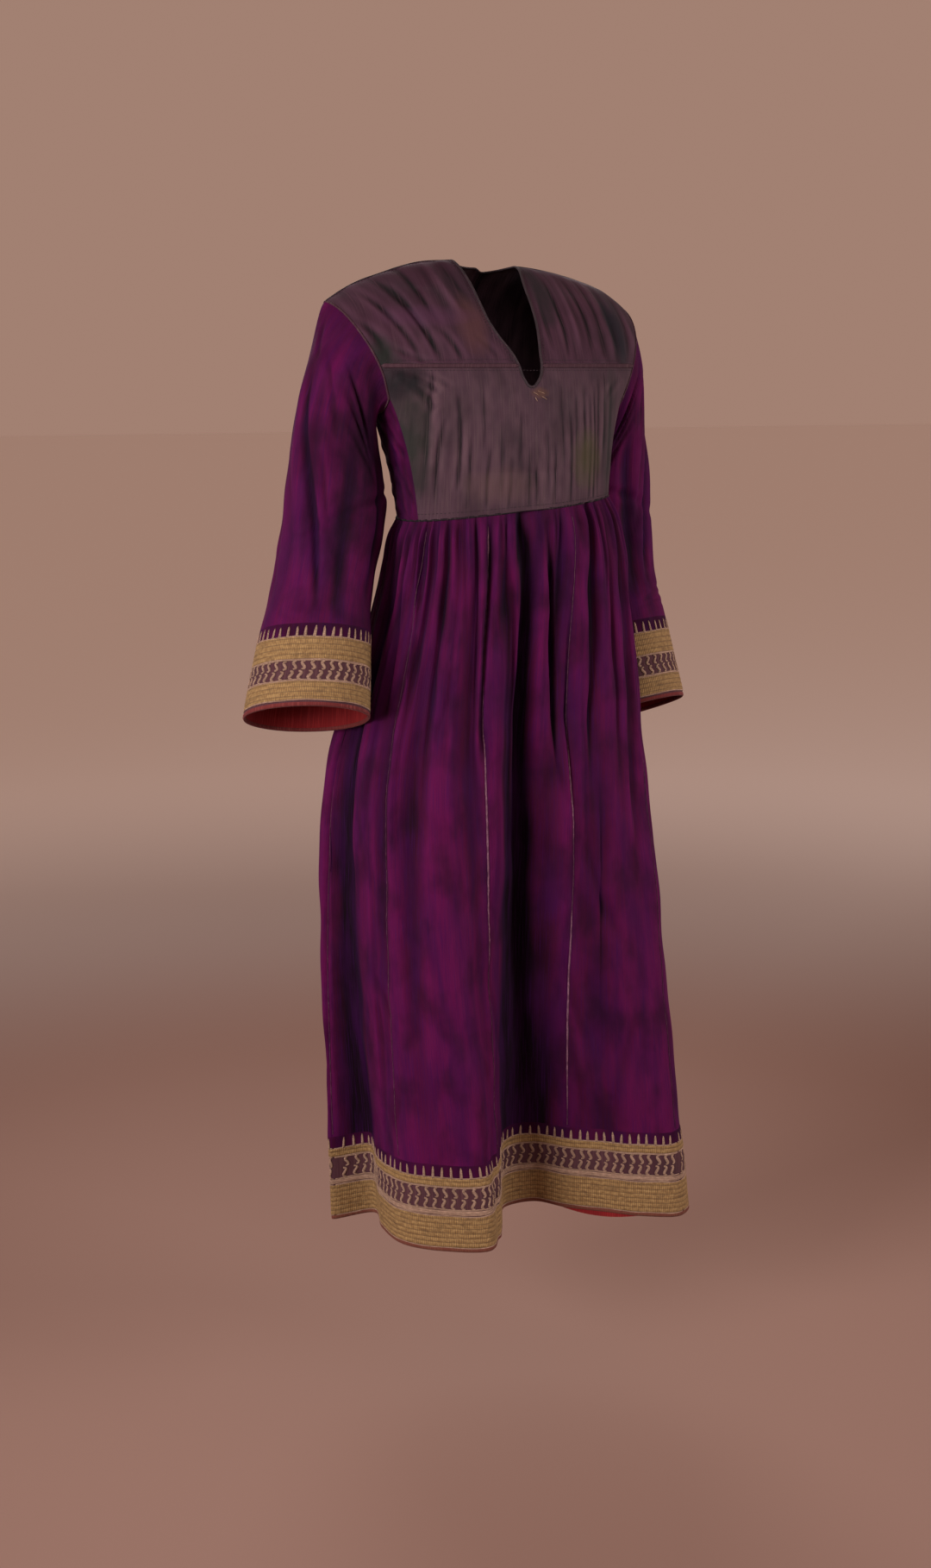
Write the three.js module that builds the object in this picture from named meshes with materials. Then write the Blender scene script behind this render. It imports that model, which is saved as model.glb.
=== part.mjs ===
// A full-length dress in its worn form, standing hollow as if a wearer held it up.
//
// Frame: millimetres, +Z up, +X to the wearer's left, -Y to the wearer's front. The origin is
// the middle of the shoulder line, at the base of the neck, where the wearer carries the dress.
// Every piece is a cloth wall: an outer skin, an inner skin one cloth thickness behind it, and
// strips that close its edges. Pieces stop a seam gap apart.

import * as THREE from 'three';

const CLOTH = 1.4;
const SEAM = 0.3;
const FACING = 1.0;
const DEGREE = Math.PI / 180;

// Bodice. Each row is one level of the torso: middle, half width, front and back.
const TORSO_POWER = 2.3;
const TORSO = [
  { z: -310, middle: 4, side: 132, front: -117, back: 50 },
  { z: -250, middle: 2, side: 138, front: -121, back: 60 },
  { z: -200, middle: 0, side: 147, front: -122, back: 72 },
  { z: -150, middle: 0, side: 165, front: -117, back: 84 },
  { z: -122, middle: 0, side: 184, front: -114, back: 90 },
  { z: -80, middle: 0, side: 213, front: -110, back: 94 },
  { z: -38, middle: 0, side: 239, front: -106, back: 94 },
  { z: 10, middle: 0, side: 264, front: -104, back: 94 },
];
const BUST_LEVEL = -150;
const FRONT_ROUNDING = 1.6;
const BACK_ROUNDING = 2.0;

// The shoulder line, by its distance from the middle: depth, and height on each side.
const SHOULDER = [
  { out: 0, y: 2, right: 8, left: 2 },
  { out: 50, y: 4, right: 7, left: 0 },
  { out: 90, y: 14, right: 4, left: -5 },
  { out: 130, y: 24, right: -8, left: -13 },
  { out: 170, y: 33, right: -24, left: -26 },
  { out: 195, y: 38, right: -40, left: -43 },
  { out: 230, y: 42, right: -66, left: -68 },
];

// The armhole edge, as half width by height, down to where it turns under the arm.
const ARMHOLE_TURN = -155;
const UNDERARM = -172;
const SIDE_SEAM = 70.5 * DEGREE;
const ARMHOLE = [
  { z: ARMHOLE_TURN, out: torsoPoint(SIDE_SEAM, ARMHOLE_TURN).x },
  { z: -121, out: 165 },
  { z: -105, out: 171 },
  { z: -78, out: 182 },
  { z: -50, out: 193 },
  { z: -36, out: 199 },
];

// The neck slit: its two edges, by height.
const YOKE_SEAM = -117;
const SLIT_END = -141;
const SLIT = [
  { z: -141, right: -3, left: 5 },
  { z: -130, right: -9, left: 14 },
  { z: -117, right: -12, left: 18 },
  { z: -103, right: -18, left: 19 },
  { z: -83, right: -31, left: 22 },
  { z: -65, right: -39, left: 24 },
  { z: -45, right: -43, left: 25 },
  { z: -24, right: -46, left: 26 },
  { z: 8, right: -50, left: 38 },
];
const NECK = { middle: -6, half: 43 };
const BACK_NECK_SCOOP = 22 * DEGREE;

// The waist seam dips towards the wearer's right.
const WAIST_LEVEL = -284;
const WAIST_TILT = 13;

// Skirt. Each row is one level of the plain ring under the folds: how far it is swung round
// to the wearer's right, its middle along the swung axis, half width, front and back.
const SKIRT_POWER = 2.35;
const SKIRT = [
  { z: -284, swing: 0, middle: 4, side: 133, front: 118, back: -53 },
  { z: -300, swing: 2, middle: 5, side: 139, front: 122, back: -59 },
  { z: -340, swing: 6, middle: 9, side: 148, front: 121, back: -70 },
  { z: -400, swing: 12, middle: 10, side: 158, front: 112, back: -84 },
  { z: -500, swing: 19, middle: 5, side: 178, front: 98, back: -101 },
  { z: -560, swing: 22, middle: 0, side: 190, front: 91, back: -114 },
  { z: -630, swing: 24, middle: -2, side: 202, front: 83, back: -128 },
  { z: -738, swing: 24.7, middle: 2, side: 213, front: 69, back: -140 },
  { z: -852, swing: 24.7, middle: 7, side: 220, front: 56, back: -150 },
  { z: -968, swing: 24.7, middle: 15, side: 225, front: 43, back: -160 },
  { z: -1086, swing: 24.7, middle: 24, side: 230, front: 29, back: -170 },
  { z: -1215, swing: 24.7, middle: 33, side: 236, front: 14, back: -180 },
];
const SKIRT_HEM = -1215;
const FOLD_GROWTH = 0.85;

// Where the hem runs: one row for each fold edge, ridge and valley, round from the front.
// along and out are measured in the swung frame, drop is the height of the hem there.
const HEM = [
  { name: 'front fold, left corner', along: 6, out: 116, drop: -1213 },
  { name: 'front fold, left flank', along: 18, out: 62, drop: -1208 },
  { name: 'middle valley', along: 24, out: 2, drop: -1203 },
  { name: 'left panel, inner part', along: 62, out: -12, drop: -1201 },
  { name: 'left panel, ridge', along: 105, out: 4, drop: -1203 },
  { name: 'left panel, middle', along: 150, out: 12, drop: -1205 },
  { name: 'left panel, outer part', along: 205, out: 18, drop: -1209 },
  { name: 'left corner', along: 254, out: 5, drop: -1214 },
  { name: 'left side ridge', along: 269, out: -36, drop: -1216 },
  { name: 'left side valley', along: 237, out: -74, drop: -1214 },
  { name: 'left back ridge', along: 233, out: -120, drop: -1217 },
  { name: 'left back valley', along: 181, out: -129, drop: -1214 },
  { name: 'back ridge, left', along: 161, out: -178, drop: -1218 },
  { name: 'back valley, left', along: 104, out: -160, drop: -1214 },
  { name: 'back ridge, middle', along: 64, out: -198, drop: -1219 },
  { name: 'back valley, middle', along: 12, out: -167, drop: -1215 },
  { name: 'back ridge, right', along: -38, out: -190, drop: -1219 },
  { name: 'back valley, right', along: -82, out: -150, drop: -1216 },
  { name: 'right back ridge', along: -142, out: -158, drop: -1220 },
  { name: 'right back valley', along: -158, out: -106, drop: -1217 },
  { name: 'right side ridge', along: -203, out: -86, drop: -1221 },
  { name: 'right side valley', along: -180, out: -46, drop: -1217 },
  { name: 'right corner', along: -205, out: 4, drop: -1219 },
  { name: 'right valley', along: -150, out: -8, drop: -1215 },
  { name: 'front fold, right flank', along: -136, out: 46, drop: -1214 },
  { name: 'front fold, right corner', along: -112, out: 94, drop: -1213 },
  { name: 'front fold, middle', along: -54, out: 120, drop: -1213 },
];

// The share of the way round that hangs from the middle of the front.
const FRONT_TURN = 0.09;

// The larger folds between the hem's own, one row each: the place round the skirt and how it
// leans on its way down, half width, height (below 0 for a valley), and the share of the
// skirt's length where it starts and ends.
const FOLDS = [
  { turn: 0.082, lean: 0.01, width: 0.03, height: -16, from: -0.05, to: 0.75 },
  { turn: 0.125, lean: 0.012, width: 0.018, height: -9, from: 0, to: 0.36 },
  { turn: 0.132, lean: -0.006, width: 0.022, height: 9, from: 0.28, to: 0.72 },
  { turn: 0.192, lean: 0.012, width: 0.02, height: 6, from: 0.02, to: 0.5 },
  { turn: 0.232, lean: -0.008, width: 0.016, height: -6, from: 0.05, to: 0.62 },
  { turn: 0.043, lean: 0.01, width: 0.022, height: 8, from: 0.04, to: 0.66 },
  { turn: 0.008, lean: 0.008, width: 0.017, height: -7, from: 0.08, to: 0.8 },
  { turn: 0.978, lean: -0.006, width: 0.018, height: 7, from: 0.02, to: 0.74 },
  { turn: 0.948, lean: -0.01, width: 0.015, height: -6, from: 0.12, to: 0.9 },
  { turn: 0.912, lean: -0.006, width: 0.016, height: -8, from: 0.2, to: 0.95 },
  { turn: 0.872, lean: -0.008, width: 0.02, height: 7, from: 0.04, to: 0.6 },
  { turn: 0.315, lean: 0.006, width: 0.02, height: -8, from: 0.03, to: 0.66 },
  { turn: 0.362, lean: 0.01, width: 0.022, height: 7, from: 0.06, to: 0.7 },
  { turn: 0.43, lean: -0.008, width: 0.02, height: 8, from: 0.02, to: 0.78 },
  { turn: 0.472, lean: 0.006, width: 0.018, height: -9, from: 0.05, to: 0.6 },
  { turn: 0.552, lean: -0.01, width: 0.022, height: -8, from: 0.03, to: 0.7 },
  { turn: 0.604, lean: 0.008, width: 0.02, height: 7, from: 0.05, to: 0.82 },
  { turn: 0.676, lean: 0.01, width: 0.018, height: -7, from: 0.04, to: 0.64 },
  { turn: 0.742, lean: -0.006, width: 0.02, height: 6, from: 0.1, to: 0.86 },
];

// Gathers at the waist: one wave each, full just under the seam and gone further down.
const GORES = 9;
const GATHERS_PER_GORE = 5;
const GATHER_DEPTH = [
  { z: -440, depth: 0 },
  { z: -380, depth: 1.6 },
  { z: -330, depth: 2.6 },
  { z: -300, depth: 2.4 },
  { z: -284, depth: 0.7 },
];
const GATHER_WANDER = 0.0035;
const GATHER_LEVELS = [0, 12, 34, 72, 130];
const GORE_LEVELS = [-490, -570, -660, -760, -870, -985];
const FINE_COLUMNS = 20;
const PLAIN_COLUMNS = 12;
const FIRST_SEAM = 0.029;

// The embroidered hem band and its facing.
const BAND_HEIGHT = 116;
const BAND_STEPS = [1, 0.5, 0];
const FACING_HEIGHT = 40;
const FACING_REST = 2;
const FACING_DIP = { at: 0.17, width: 0.05, depth: 9 };

// Sleeves, by sections from the armhole down: the outer and inner points of each section
// (distance out from the middle, and height), its depth position, half depth, and how far the
// front of the section is lifted above its back.
const SLEEVE = [
  { step: 1, outer: 222, outerZ: -118, inner: 149, innerZ: -205, y: 22, half: 63, lift: 0 },
  { step: 2, outer: 233, outerZ: -165, inner: 141, innerZ: -226, y: 29, half: 62, lift: 1 },
  { step: 3, outer: 242, outerZ: -215, inner: 133, innerZ: -254, y: 34, half: 62, lift: 2 },
  { step: 4, outer: 248, outerZ: -262, inner: 129, innerZ: -285, y: 36, half: 62, lift: 4 },
  { step: 5, outer: 254, outerZ: -310, inner: 131, innerZ: -322, y: 37, half: 62, lift: 7 },
  { step: 6, outer: 262, outerZ: -360, inner: 141, innerZ: -371, y: 38, half: 63, lift: 11 },
  { step: 7, outer: 271, outerZ: -406, inner: 149, innerZ: -420, y: 38, half: 63, lift: 15 },
  { step: 8, outer: 282, outerZ: -444, inner: 150, innerZ: -460, y: 38, half: 66, lift: 18 },
  { step: 9, outer: 294, outerZ: -500, inner: 152, innerZ: -518, y: 38, half: 70, lift: 22 },
  { step: 10, outer: 305, outerZ: -554, inner: 153, innerZ: -574, y: 38, half: 73, lift: 26 },
];
const CAP_SHARES = [0, 0.1, 0.26, 0.5, 0.76];
const CAP_LEAVE = { top: 26, side: 38, under: 24 };
const CAP_ARRIVE = 45;
const SLEEVE_STEPS = [1, 2, 3, 4, 5, 6, 7, 8];
const CUFF_STEPS = [8.7, 9.35, 10];
const CUFF_FACING_RINGS = 2;
const EVEN_STEP = 4;
const ARM_LENGTH = 500;

// The two arms hang a little apart: forward and out on the right, back and in on the left.
const SIDES = [
  { name: 'right', sign: -1, forward: 57, out: 21, flare: 0, raise: 28 },
  { name: 'left', sign: 1, forward: -33, out: -10, flare: 15, raise: -4 },
];

const FINISHES = {
  yoke: { color: 0x45303f, roughness: 0.5 },
  satin: { color: 0x4c3a40, roughness: 0.45 },
  silk: { color: 0x480c3c, roughness: 0.42 },
  embroidery: { color: 0x93764b, roughness: 0.6 },
  lining: { color: 0x850d14, roughness: 0.7 },
};

// ---------------------------------------------------------------------------- tables, vectors

// A smooth value of one column at a place between the rows of a table.
function read(table, column, key, at) {
  const rising = table[0][key] <= table[table.length - 1][key];
  const rows = rising ? table : [...table].reverse();
  const last = rows.length - 1;
  const place = Math.min(Math.max(at, rows[0][key]), rows[last][key]);
  let low = 0;
  while (low < last - 1 && rows[low + 1][key] <= place) low += 1;
  const slope = (a, b) => (rows[b][column] - rows[a][column]) / (rows[b][key] - rows[a][key]);
  const tangent = (i) => {
    if (i === 0) return slope(0, 1);
    if (i === last) return slope(last - 1, last);
    const before = rows[i][key] - rows[i - 1][key];
    const after = rows[i + 1][key] - rows[i][key];
    return (slope(i - 1, i) * after + slope(i, i + 1) * before) / (before + after);
  };
  const span = rows[low + 1][key] - rows[low][key];
  const t = (place - rows[low][key]) / span;
  return hermite(
    rows[low][column], rows[low + 1][column], tangent(low) * span, tangent(low + 1) * span, t,
  );
}

function hermite(start, end, leave, arrive, t) {
  const t2 = t * t;
  const t3 = t2 * t;
  return (2 * t3 - 3 * t2 + 1) * start + (t3 - 2 * t2 + t) * leave
    + (3 * t2 - 2 * t3) * end + (t3 - t2) * arrive;
}

function hermiteVector(start, end, leave, arrive, t) {
  const parts = ['x', 'y', 'z'].map((axis) => {
    return hermite(start[axis], end[axis], leave[axis], arrive[axis], t);
  });
  return new THREE.Vector3(...parts);
}

function signedPower(value, power) {
  return Math.sign(value) * Math.abs(value) ** power;
}

function mix(a, b, t) {
  return a + (b - a) * t;
}

// A soft bump: 1 at the middle, 0 from one width away on a line that closes on itself.
function softBump(at, middle, width) {
  const away = Math.abs(((at - middle + 1.5) % 1) - 0.5) / width;
  return away >= 1 ? 0 : (1 - away * away) ** 2;
}

// The outward direction of a surface at (u, v), where u runs to the right and v runs down.
function outward(surface, u, v, du, dv) {
  const right = surface(u + du, v).sub(surface(u - du, v));
  const down = surface(u, v + dv).sub(surface(u, v - dv));
  return down.cross(right).normalize();
}

// -------------------------------------------------------------------------------- cloth walls

// A point of a piece: its place on the outer skin, the way out, and its place across the row.
function clothPoint(surface, u, v, du, dv) {
  return { at: surface(u, v), out: outward(surface, u, v, du, dv), u };
}

// Triangles between two rows of points that may have different counts.
function zip(upper, lower, faces) {
  let i = 0;
  let j = 0;
  while (i < upper.length - 1 || j < lower.length - 1) {
    const nextUpper = i < upper.length - 1 ? (upper[i].u + upper[i + 1].u) / 2 : Infinity;
    const nextLower = j < lower.length - 1 ? (lower[j].u + lower[j + 1].u) / 2 : Infinity;
    if (nextLower <= nextUpper) {
      faces.push([upper[i].index, lower[j].index, lower[j + 1].index]);
      j += 1;
    } else {
      faces.push([upper[i].index, lower[j].index, upper[i + 1].index]);
      i += 1;
    }
  }
}

// Moves an edge row or column into the piece, by half a seam gap if nothing else is said.
function pullIn(edge, next, distance = SEAM / 2) {
  edge.forEach((point, i) => {
    const inward = next[i].at.clone().sub(point.at);
    inward.addScaledVector(point.out, -inward.dot(point.out));
    point.at.addScaledVector(inward.normalize(), distance);
  });
}

function trimSides(rows) {
  pullIn(rows.map((row) => row[0]), rows.map((row) => row[1]));
  pullIn(rows.map((row) => row[row.length - 1]), rows.map((row) => row[row.length - 2]));
  return rows;
}

function nearestIn(row, point) {
  return row.reduce((a, b) => (Math.abs(a.u - point.u) < Math.abs(b.u - point.u) ? a : b));
}

function trimTop(rows) {
  pullIn(rows[0], rows[0].map((point) => nearestIn(rows[1], point)));
  return rows;
}

function trimBottom(rows) {
  const last = rows[rows.length - 1];
  pullIn(last, last.map((point) => nearestIn(rows[rows.length - 2], point)));
  return rows;
}

// The closed wall over rows of points, ordered downwards and to the right. A tube's rows meet
// their own start, and open(row, column) leaves a cell of the rows out.
function wall(name, finish, rows, { tube = false, open = null, thickness = CLOTH } = {}) {
  const points = rows.flat();
  points.forEach((point, index) => {
    point.index = index;
  });
  const faces = [];
  for (let row = 0; row < rows.length - 1; row += 1) {
    if (open) {
      for (let column = 0; column < rows[row].length - 1; column += 1) {
        if (open(row, column)) continue;
        zip(rows[row].slice(column, column + 2), rows[row + 1].slice(column, column + 2), faces);
      }
    } else {
      zip(closeRow(rows[row], tube), closeRow(rows[row + 1], tube), faces);
    }
  }
  const inner = points.map((point) => point.at.clone().addScaledVector(point.out, -thickness));
  const skins = [...points.map((point) => point.at), ...inner];
  return meshOf(name, finish, skins, closedFaces(faces, points.length));
}

function closeRow(row, tube) {
  return tube ? [...row, { ...row[0], u: row[0].u + 1 }] : row;
}

// Both skins and the strips along every edge that only one face uses. A strip is always cut
// from the outer skin's earlier point to the inner skin's later one, so neighbours match.
function closedFaces(faces, count) {
  const closed = [];
  const edges = new Map();
  for (const [a, b, c] of faces) {
    closed.push(a, b, c, count + a, count + c, count + b);
    for (const [from, to] of [[a, b], [b, c], [c, a]]) {
      if (!edges.delete(`${to} ${from}`)) edges.set(`${from} ${to}`, [from, to]);
    }
  }
  for (const [from, to] of edges.values()) {
    if (from > to) closed.push(to, from, count + from, to, count + from, count + to);
    else closed.push(to, from, count + to, from, count + from, count + to);
  }
  return closed;
}

function meshOf(name, finish, vertices, index) {
  const used = [...new Set(index)];
  const place = new Map(used.map((old, now) => [old, now]));
  const geometry = new THREE.BufferGeometry();
  const positions = used.flatMap((old) => vertices[old].toArray());
  geometry.setAttribute('position', new THREE.Float32BufferAttribute(positions, 3));
  geometry.setIndex(index.map((old) => place.get(old)));
  geometry.computeVertexNormals();
  const material = new THREE.MeshStandardMaterial({ ...FINISHES[finish], metalness: 0 });
  const mesh = new THREE.Mesh(geometry, material);
  mesh.name = name;
  return mesh;
}

// -------------------------------------------------------------------------------- the bodice

function torsoAt(z) {
  const size = {};
  for (const column of ['middle', 'side', 'front', 'back']) {
    size[column] = read(TORSO, column, 'z', z);
  }
  size.centre = (size.front + size.back) / 2;
  size.depth = (size.back - size.front) / 2;
  return size;
}

// The torso at an angle round from the front to the wearer's left, below the bust.
function torsoPoint(angle, z) {
  const size = torsoAt(z);
  return new THREE.Vector3(
    size.middle + size.side * signedPower(Math.sin(angle), 2 / TORSO_POWER),
    size.centre - size.depth * signedPower(Math.cos(angle), 2 / TORSO_POWER),
    z,
  );
}

function shoulderLine(x) {
  const out = Math.abs(x);
  return {
    y: read(SHOULDER, 'y', 'out', out),
    z: read(SHOULDER, x < 0 ? 'right' : 'left', 'out', out),
  };
}

// The way out of the cloth on the shoulder line, shared by the front and the back.
function shoulderOut(x) {
  const rise = shoulderLine(x + 1).z - shoulderLine(x - 1).z;
  return new THREE.Vector3(-rise, 0, 2).normalize();
}

// The depth of the front (face -1) or the back (face 1) of the bodice at any x and z.
function bodiceDepth(x, z, face) {
  const size = torsoAt(z);
  const reach = Math.min(Math.abs(x - size.middle) / size.side, 1);
  const flat = size.centre + face * size.depth * (1 - reach ** TORSO_POWER) ** (1 / TORSO_POWER);
  if (z <= BUST_LEVEL) return flat;
  const top = shoulderLine(x);
  const rounding = face < 0 ? FRONT_ROUNDING : BACK_ROUNDING;
  const climb = Math.min((z - BUST_LEVEL) / (top.z - BUST_LEVEL), 1);
  return top.y + (flat - top.y) * (1 - climb ** rounding) ** (1 / rounding);
}

function bodicePoint(x, z, face) {
  return new THREE.Vector3(x, bodiceDepth(x, z, face) + face * SEAM / 2, z);
}

// The height on the way from a seam (rise 0) to the shoulder line (rise 1), spaced so that
// the rows follow the rounding of the shoulder.
function climbTo(x, rise, face, from) {
  const rounding = face < 0 ? FRONT_ROUNDING : BACK_ROUNDING;
  const height = shoulderLine(x).z - BUST_LEVEL;
  const start = Math.asin(((from - BUST_LEVEL) / height) ** (rounding / 2));
  return BUST_LEVEL + height * Math.sin(mix(start, Math.PI / 2, rise)) ** (2 / rounding);
}

// The same, where x changes with the height.
function climbAlong(xAt, rise, face) {
  let z = YOKE_SEAM;
  let x = 0;
  for (let pass = 0; pass < 8; pass += 1) {
    x = xAt(z);
    z = climbTo(x, rise, face, YOKE_SEAM);
  }
  return { x, z };
}

function armholeOut(z) {
  return read(ARMHOLE, 'out', 'z', z);
}

const YOKE_RISES = [0, 0.16, 0.32, 0.48, 0.63, 0.77, 0.88, 0.95, 1];
const YOKE_COLUMNS = 9;

// A place on a front yoke: a share of the way from its right edge to its left, and a rise.
function yokePlace(side, across, rise) {
  return climbAlong((level) => {
    const armhole = side.sign * armholeOut(level);
    const slit = read(SLIT, side.name, 'z', level);
    return side.sign < 0 ? mix(armhole, slit, across) : mix(slit, armhole, across);
  }, rise, -1);
}

function frontYoke(side) {
  const surface = (across, rise) => {
    const { x, z } = yokePlace(side, across, rise);
    return bodicePoint(x, z, -1);
  };
  const rows = [...YOKE_RISES].reverse().map((rise) => {
    const inside = Math.min(Math.max(rise, 0.01), 0.99);
    return Array.from({ length: YOKE_COLUMNS + 1 }, (_, i) => {
      const across = i / YOKE_COLUMNS;
      const facing = Math.min(Math.max(across, 0.01), 0.99);
      const at = surface(across, rise);
      const out = outward((u, v) => surface(u, -v), facing, -inside, 0.01, 0.01);
      return { at, out: rise === 1 ? shoulderOut(at.x) : out, u: across };
    });
  });
  return wall(`front_yoke_${side.name}`, 'yoke', trimBottom(rows));
}

function waistLevel(angle) {
  return WAIST_LEVEL + WAIST_TILT * Math.sin(angle);
}

const LOWER_LEVELS = [YOKE_SEAM, -129, SLIT_END, ARMHOLE_TURN, -185, -225, -260];
const LOWER_HALF_COLUMNS = 8;

// The angle round the torso at which x lies on the front at a height.
function frontAngle(x, z) {
  const size = torsoAt(z);
  const reach = Math.min(Math.max((x - size.middle) / size.side, -1), 1);
  return Math.asin(signedPower(reach, TORSO_POWER / 2));
}

// Above the bust the front is read by x, below it by the angle round the torso.
function frontSurface(angle, z) {
  const x = torsoPoint(angle, z).x;
  return new THREE.Vector3(x, bodiceDepth(x, z, -1), z);
}

function sideAngle(z, sign) {
  if (z <= ARMHOLE_TURN) return sign * SIDE_SEAM;
  return frontAngle(sign * armholeOut(z), z);
}

function frontPanel() {
  const slitAngle = (z, column) => {
    const level = Math.max(z, SLIT_END);
    const edge = frontAngle(read(SLIT, column, 'z', level), level);
    const spread = column === 'right' ? -0.06 : 0.1;
    return z >= SLIT_END ? edge : mix(edge, spread, (SLIT_END - z) / (SLIT_END - WAIST_LEVEL));
  };
  const rows = [...LOWER_LEVELS, WAIST_LEVEL].map((level, rowIndex) => {
    const row = [];
    const halves = [
      [sideAngle(level, -1), slitAngle(level, 'right')],
      [slitAngle(level, 'left'), sideAngle(level, 1)],
    ];
    for (const [from, to] of halves) {
      for (let i = 0; i <= LOWER_HALF_COLUMNS; i += 1) {
        const angle = mix(from, to, i / LOWER_HALF_COLUMNS);
        const z = rowIndex === LOWER_LEVELS.length ? waistLevel(angle) : level;
        const point = clothPoint(frontSurface, angle, z, 0.01, -1);
        point.u = row.length;
        row.push(point);
      }
    }
    return row;
  });
  const slitRows = LOWER_LEVELS.indexOf(SLIT_END);
  const open = (row, column) => row < slitRows && column === LOWER_HALF_COLUMNS;
  trimTop(rows);
  const turn = LOWER_LEVELS.indexOf(ARMHOLE_TURN);
  trimSides(rows.slice(turn));
  return wall('front_panel', 'satin', rows, { open });
}

const SIDE_COLUMNS = 4;

function underarmLevel(angle) {
  const away = (Math.abs(angle) - Math.PI / 2) / (Math.PI / 2 - SIDE_SEAM);
  return UNDERARM + (ARMHOLE_TURN - UNDERARM) * away ** 2;
}

function sideAngles(sign) {
  const from = sign > 0 ? SIDE_SEAM : SIDE_SEAM - Math.PI;
  const to = sign > 0 ? Math.PI - SIDE_SEAM : -SIDE_SEAM;
  return Array.from({ length: SIDE_COLUMNS + 1 }, (_, i) => mix(from, to, i / SIDE_COLUMNS));
}

function sidePanel(side) {
  const levels = [underarmLevel, () => -185, () => -225, () => -260, waistLevel];
  const rows = levels.map((level) => sideAngles(side.sign).map((angle) => {
    return clothPoint(torsoPoint, angle, level(angle), 0.01, -1);
  }));
  return wall(`side_panel_${side.name}`, 'silk', trimSides(rows));
}

const BACK_LEVELS = [-135, ARMHOLE_TURN, -185, -225, -260];
const NECK_COLUMNS = 4;

// The back: x by a share of the way between the armholes, up to the shoulder line and the
// scooped neck.
function backUpper(across, rise) {
  const xAt = (z) => torsoPoint(backAngle(across, z), z).x;
  const { x } = climbAlong(xAt, rise, 1);
  const neck = Math.max(1 - ((x - NECK.middle) / NECK.half) ** 2, 0);
  const scooped = rise * (1 - BACK_NECK_SCOOP / (Math.PI / 2) * Math.sqrt(neck));
  const place = climbAlong(xAt, scooped, 1);
  return bodicePoint(place.x, place.z, 1);
}

function backAngle(across, z) {
  let edge = SIDE_SEAM;
  if (z > ARMHOLE_TURN) edge = frontAngle(armholeOut(z), z);
  return Math.PI - edge + 2 * edge * across;
}

function backSurface(angle, z) {
  const x = torsoPoint(angle, z).x;
  return new THREE.Vector3(x, bodiceDepth(x, z, 1) + SEAM / 2, z);
}

// The back's columns, as shares of the way from the left armhole to the right one. They meet
// the front yokes' columns on the shoulder line.
function backColumns() {
  const [right, left] = SIDES;
  const tops = [];
  for (let i = YOKE_COLUMNS; i >= 0; i -= 1) tops.push(yokePlace(left, i / YOKE_COLUMNS, 1).x);
  for (let i = 1; i < NECK_COLUMNS; i += 1) {
    tops.push(NECK.middle + NECK.half * (1 - 2 * i / NECK_COLUMNS));
  }
  for (let i = YOKE_COLUMNS; i >= 0; i -= 1) tops.push(yokePlace(right, i / YOKE_COLUMNS, 1).x);
  return tops.map((x) => {
    const { z } = shoulderLine(x);
    const edge = frontAngle(armholeOut(z), z);
    return (edge - frontAngle(x, z)) / (2 * edge);
  });
}

function backPanel() {
  const columns = backColumns();
  const upper = [...YOKE_RISES].reverse().map((rise) => columns.map((across) => {
    const inside = Math.min(Math.max(rise, 0.01), 0.99);
    const facing = Math.min(Math.max(across, 0.01), 0.99);
    const at = backUpper(across, rise);
    const out = outward((u, v) => backUpper(u, -v), facing, -inside, 0.01, 0.01);
    const shoulder = rise === 1 && Math.abs(at.x - NECK.middle) > NECK.half;
    return { at, out: shoulder ? shoulderOut(at.x) : out, u: across };
  }));
  const lower = [...BACK_LEVELS, WAIST_LEVEL].map((level, i) => columns.map((across) => {
    const angle = backAngle(across, level);
    const z = i === BACK_LEVELS.length ? waistLevel(angle) : level;
    const point = clothPoint(backSurface, angle, z, 0.01, -1);
    point.u = across;
    return point;
  }));
  trimSides(lower.slice(BACK_LEVELS.indexOf(ARMHOLE_TURN)));
  return wall('back_panel', 'satin', [...upper, ...lower]);
}

// -------------------------------------------------------------------------------- the sleeves

// The points of the armhole edge, round from the shoulder tip down the front, under the arm
// and up the back, each with the way out of the bodice's cloth there.
function armholeLoop(side) {
  const loop = [];
  const climb = (face) => YOKE_RISES.map((rise) => {
    const { x, z } = climbAlong((level) => side.sign * armholeOut(level), rise, face);
    return { at: bodicePoint(x, z, face), out: bodiceOut(x, z, face) };
  });
  loop.push(...climb(-1).reverse());
  for (const z of [-129, SLIT_END, ARMHOLE_TURN]) {
    const x = side.sign * armholeOut(z);
    const at = bodicePoint(x, z, -1);
    loop.push({ at: at.setY(at.y + SEAM / 2), out: bodiceOut(x, z, -1) });
  }
  const under = sideAngles(side.sign);
  if (side.sign < 0) under.reverse();
  for (const angle of under.slice(1, -1)) {
    const z = underarmLevel(angle);
    loop.push({
      at: torsoPoint(angle, z),
      out: outward(torsoPoint, angle, z, 0.01, -1),
    });
  }
  for (const z of [ARMHOLE_TURN, -135]) {
    const x = side.sign * armholeOut(z);
    loop.push({ at: bodicePoint(x, z, 1), out: bodiceOut(x, z, 1) });
  }
  loop.push(...climb(1).slice(0, -1));
  return loop;
}

function bodiceOut(x, z, face) {
  if (z > shoulderLine(x).z - 0.01) return shoulderOut(x);
  const inside = Math.abs(x) - 1.5;
  const surface = (u, v) => bodicePoint(u, v, face);
  const out = outward(surface, Math.sign(x) * inside, z, 0.2, 0.2);
  return face < 0 ? out.negate() : out;
}

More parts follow.
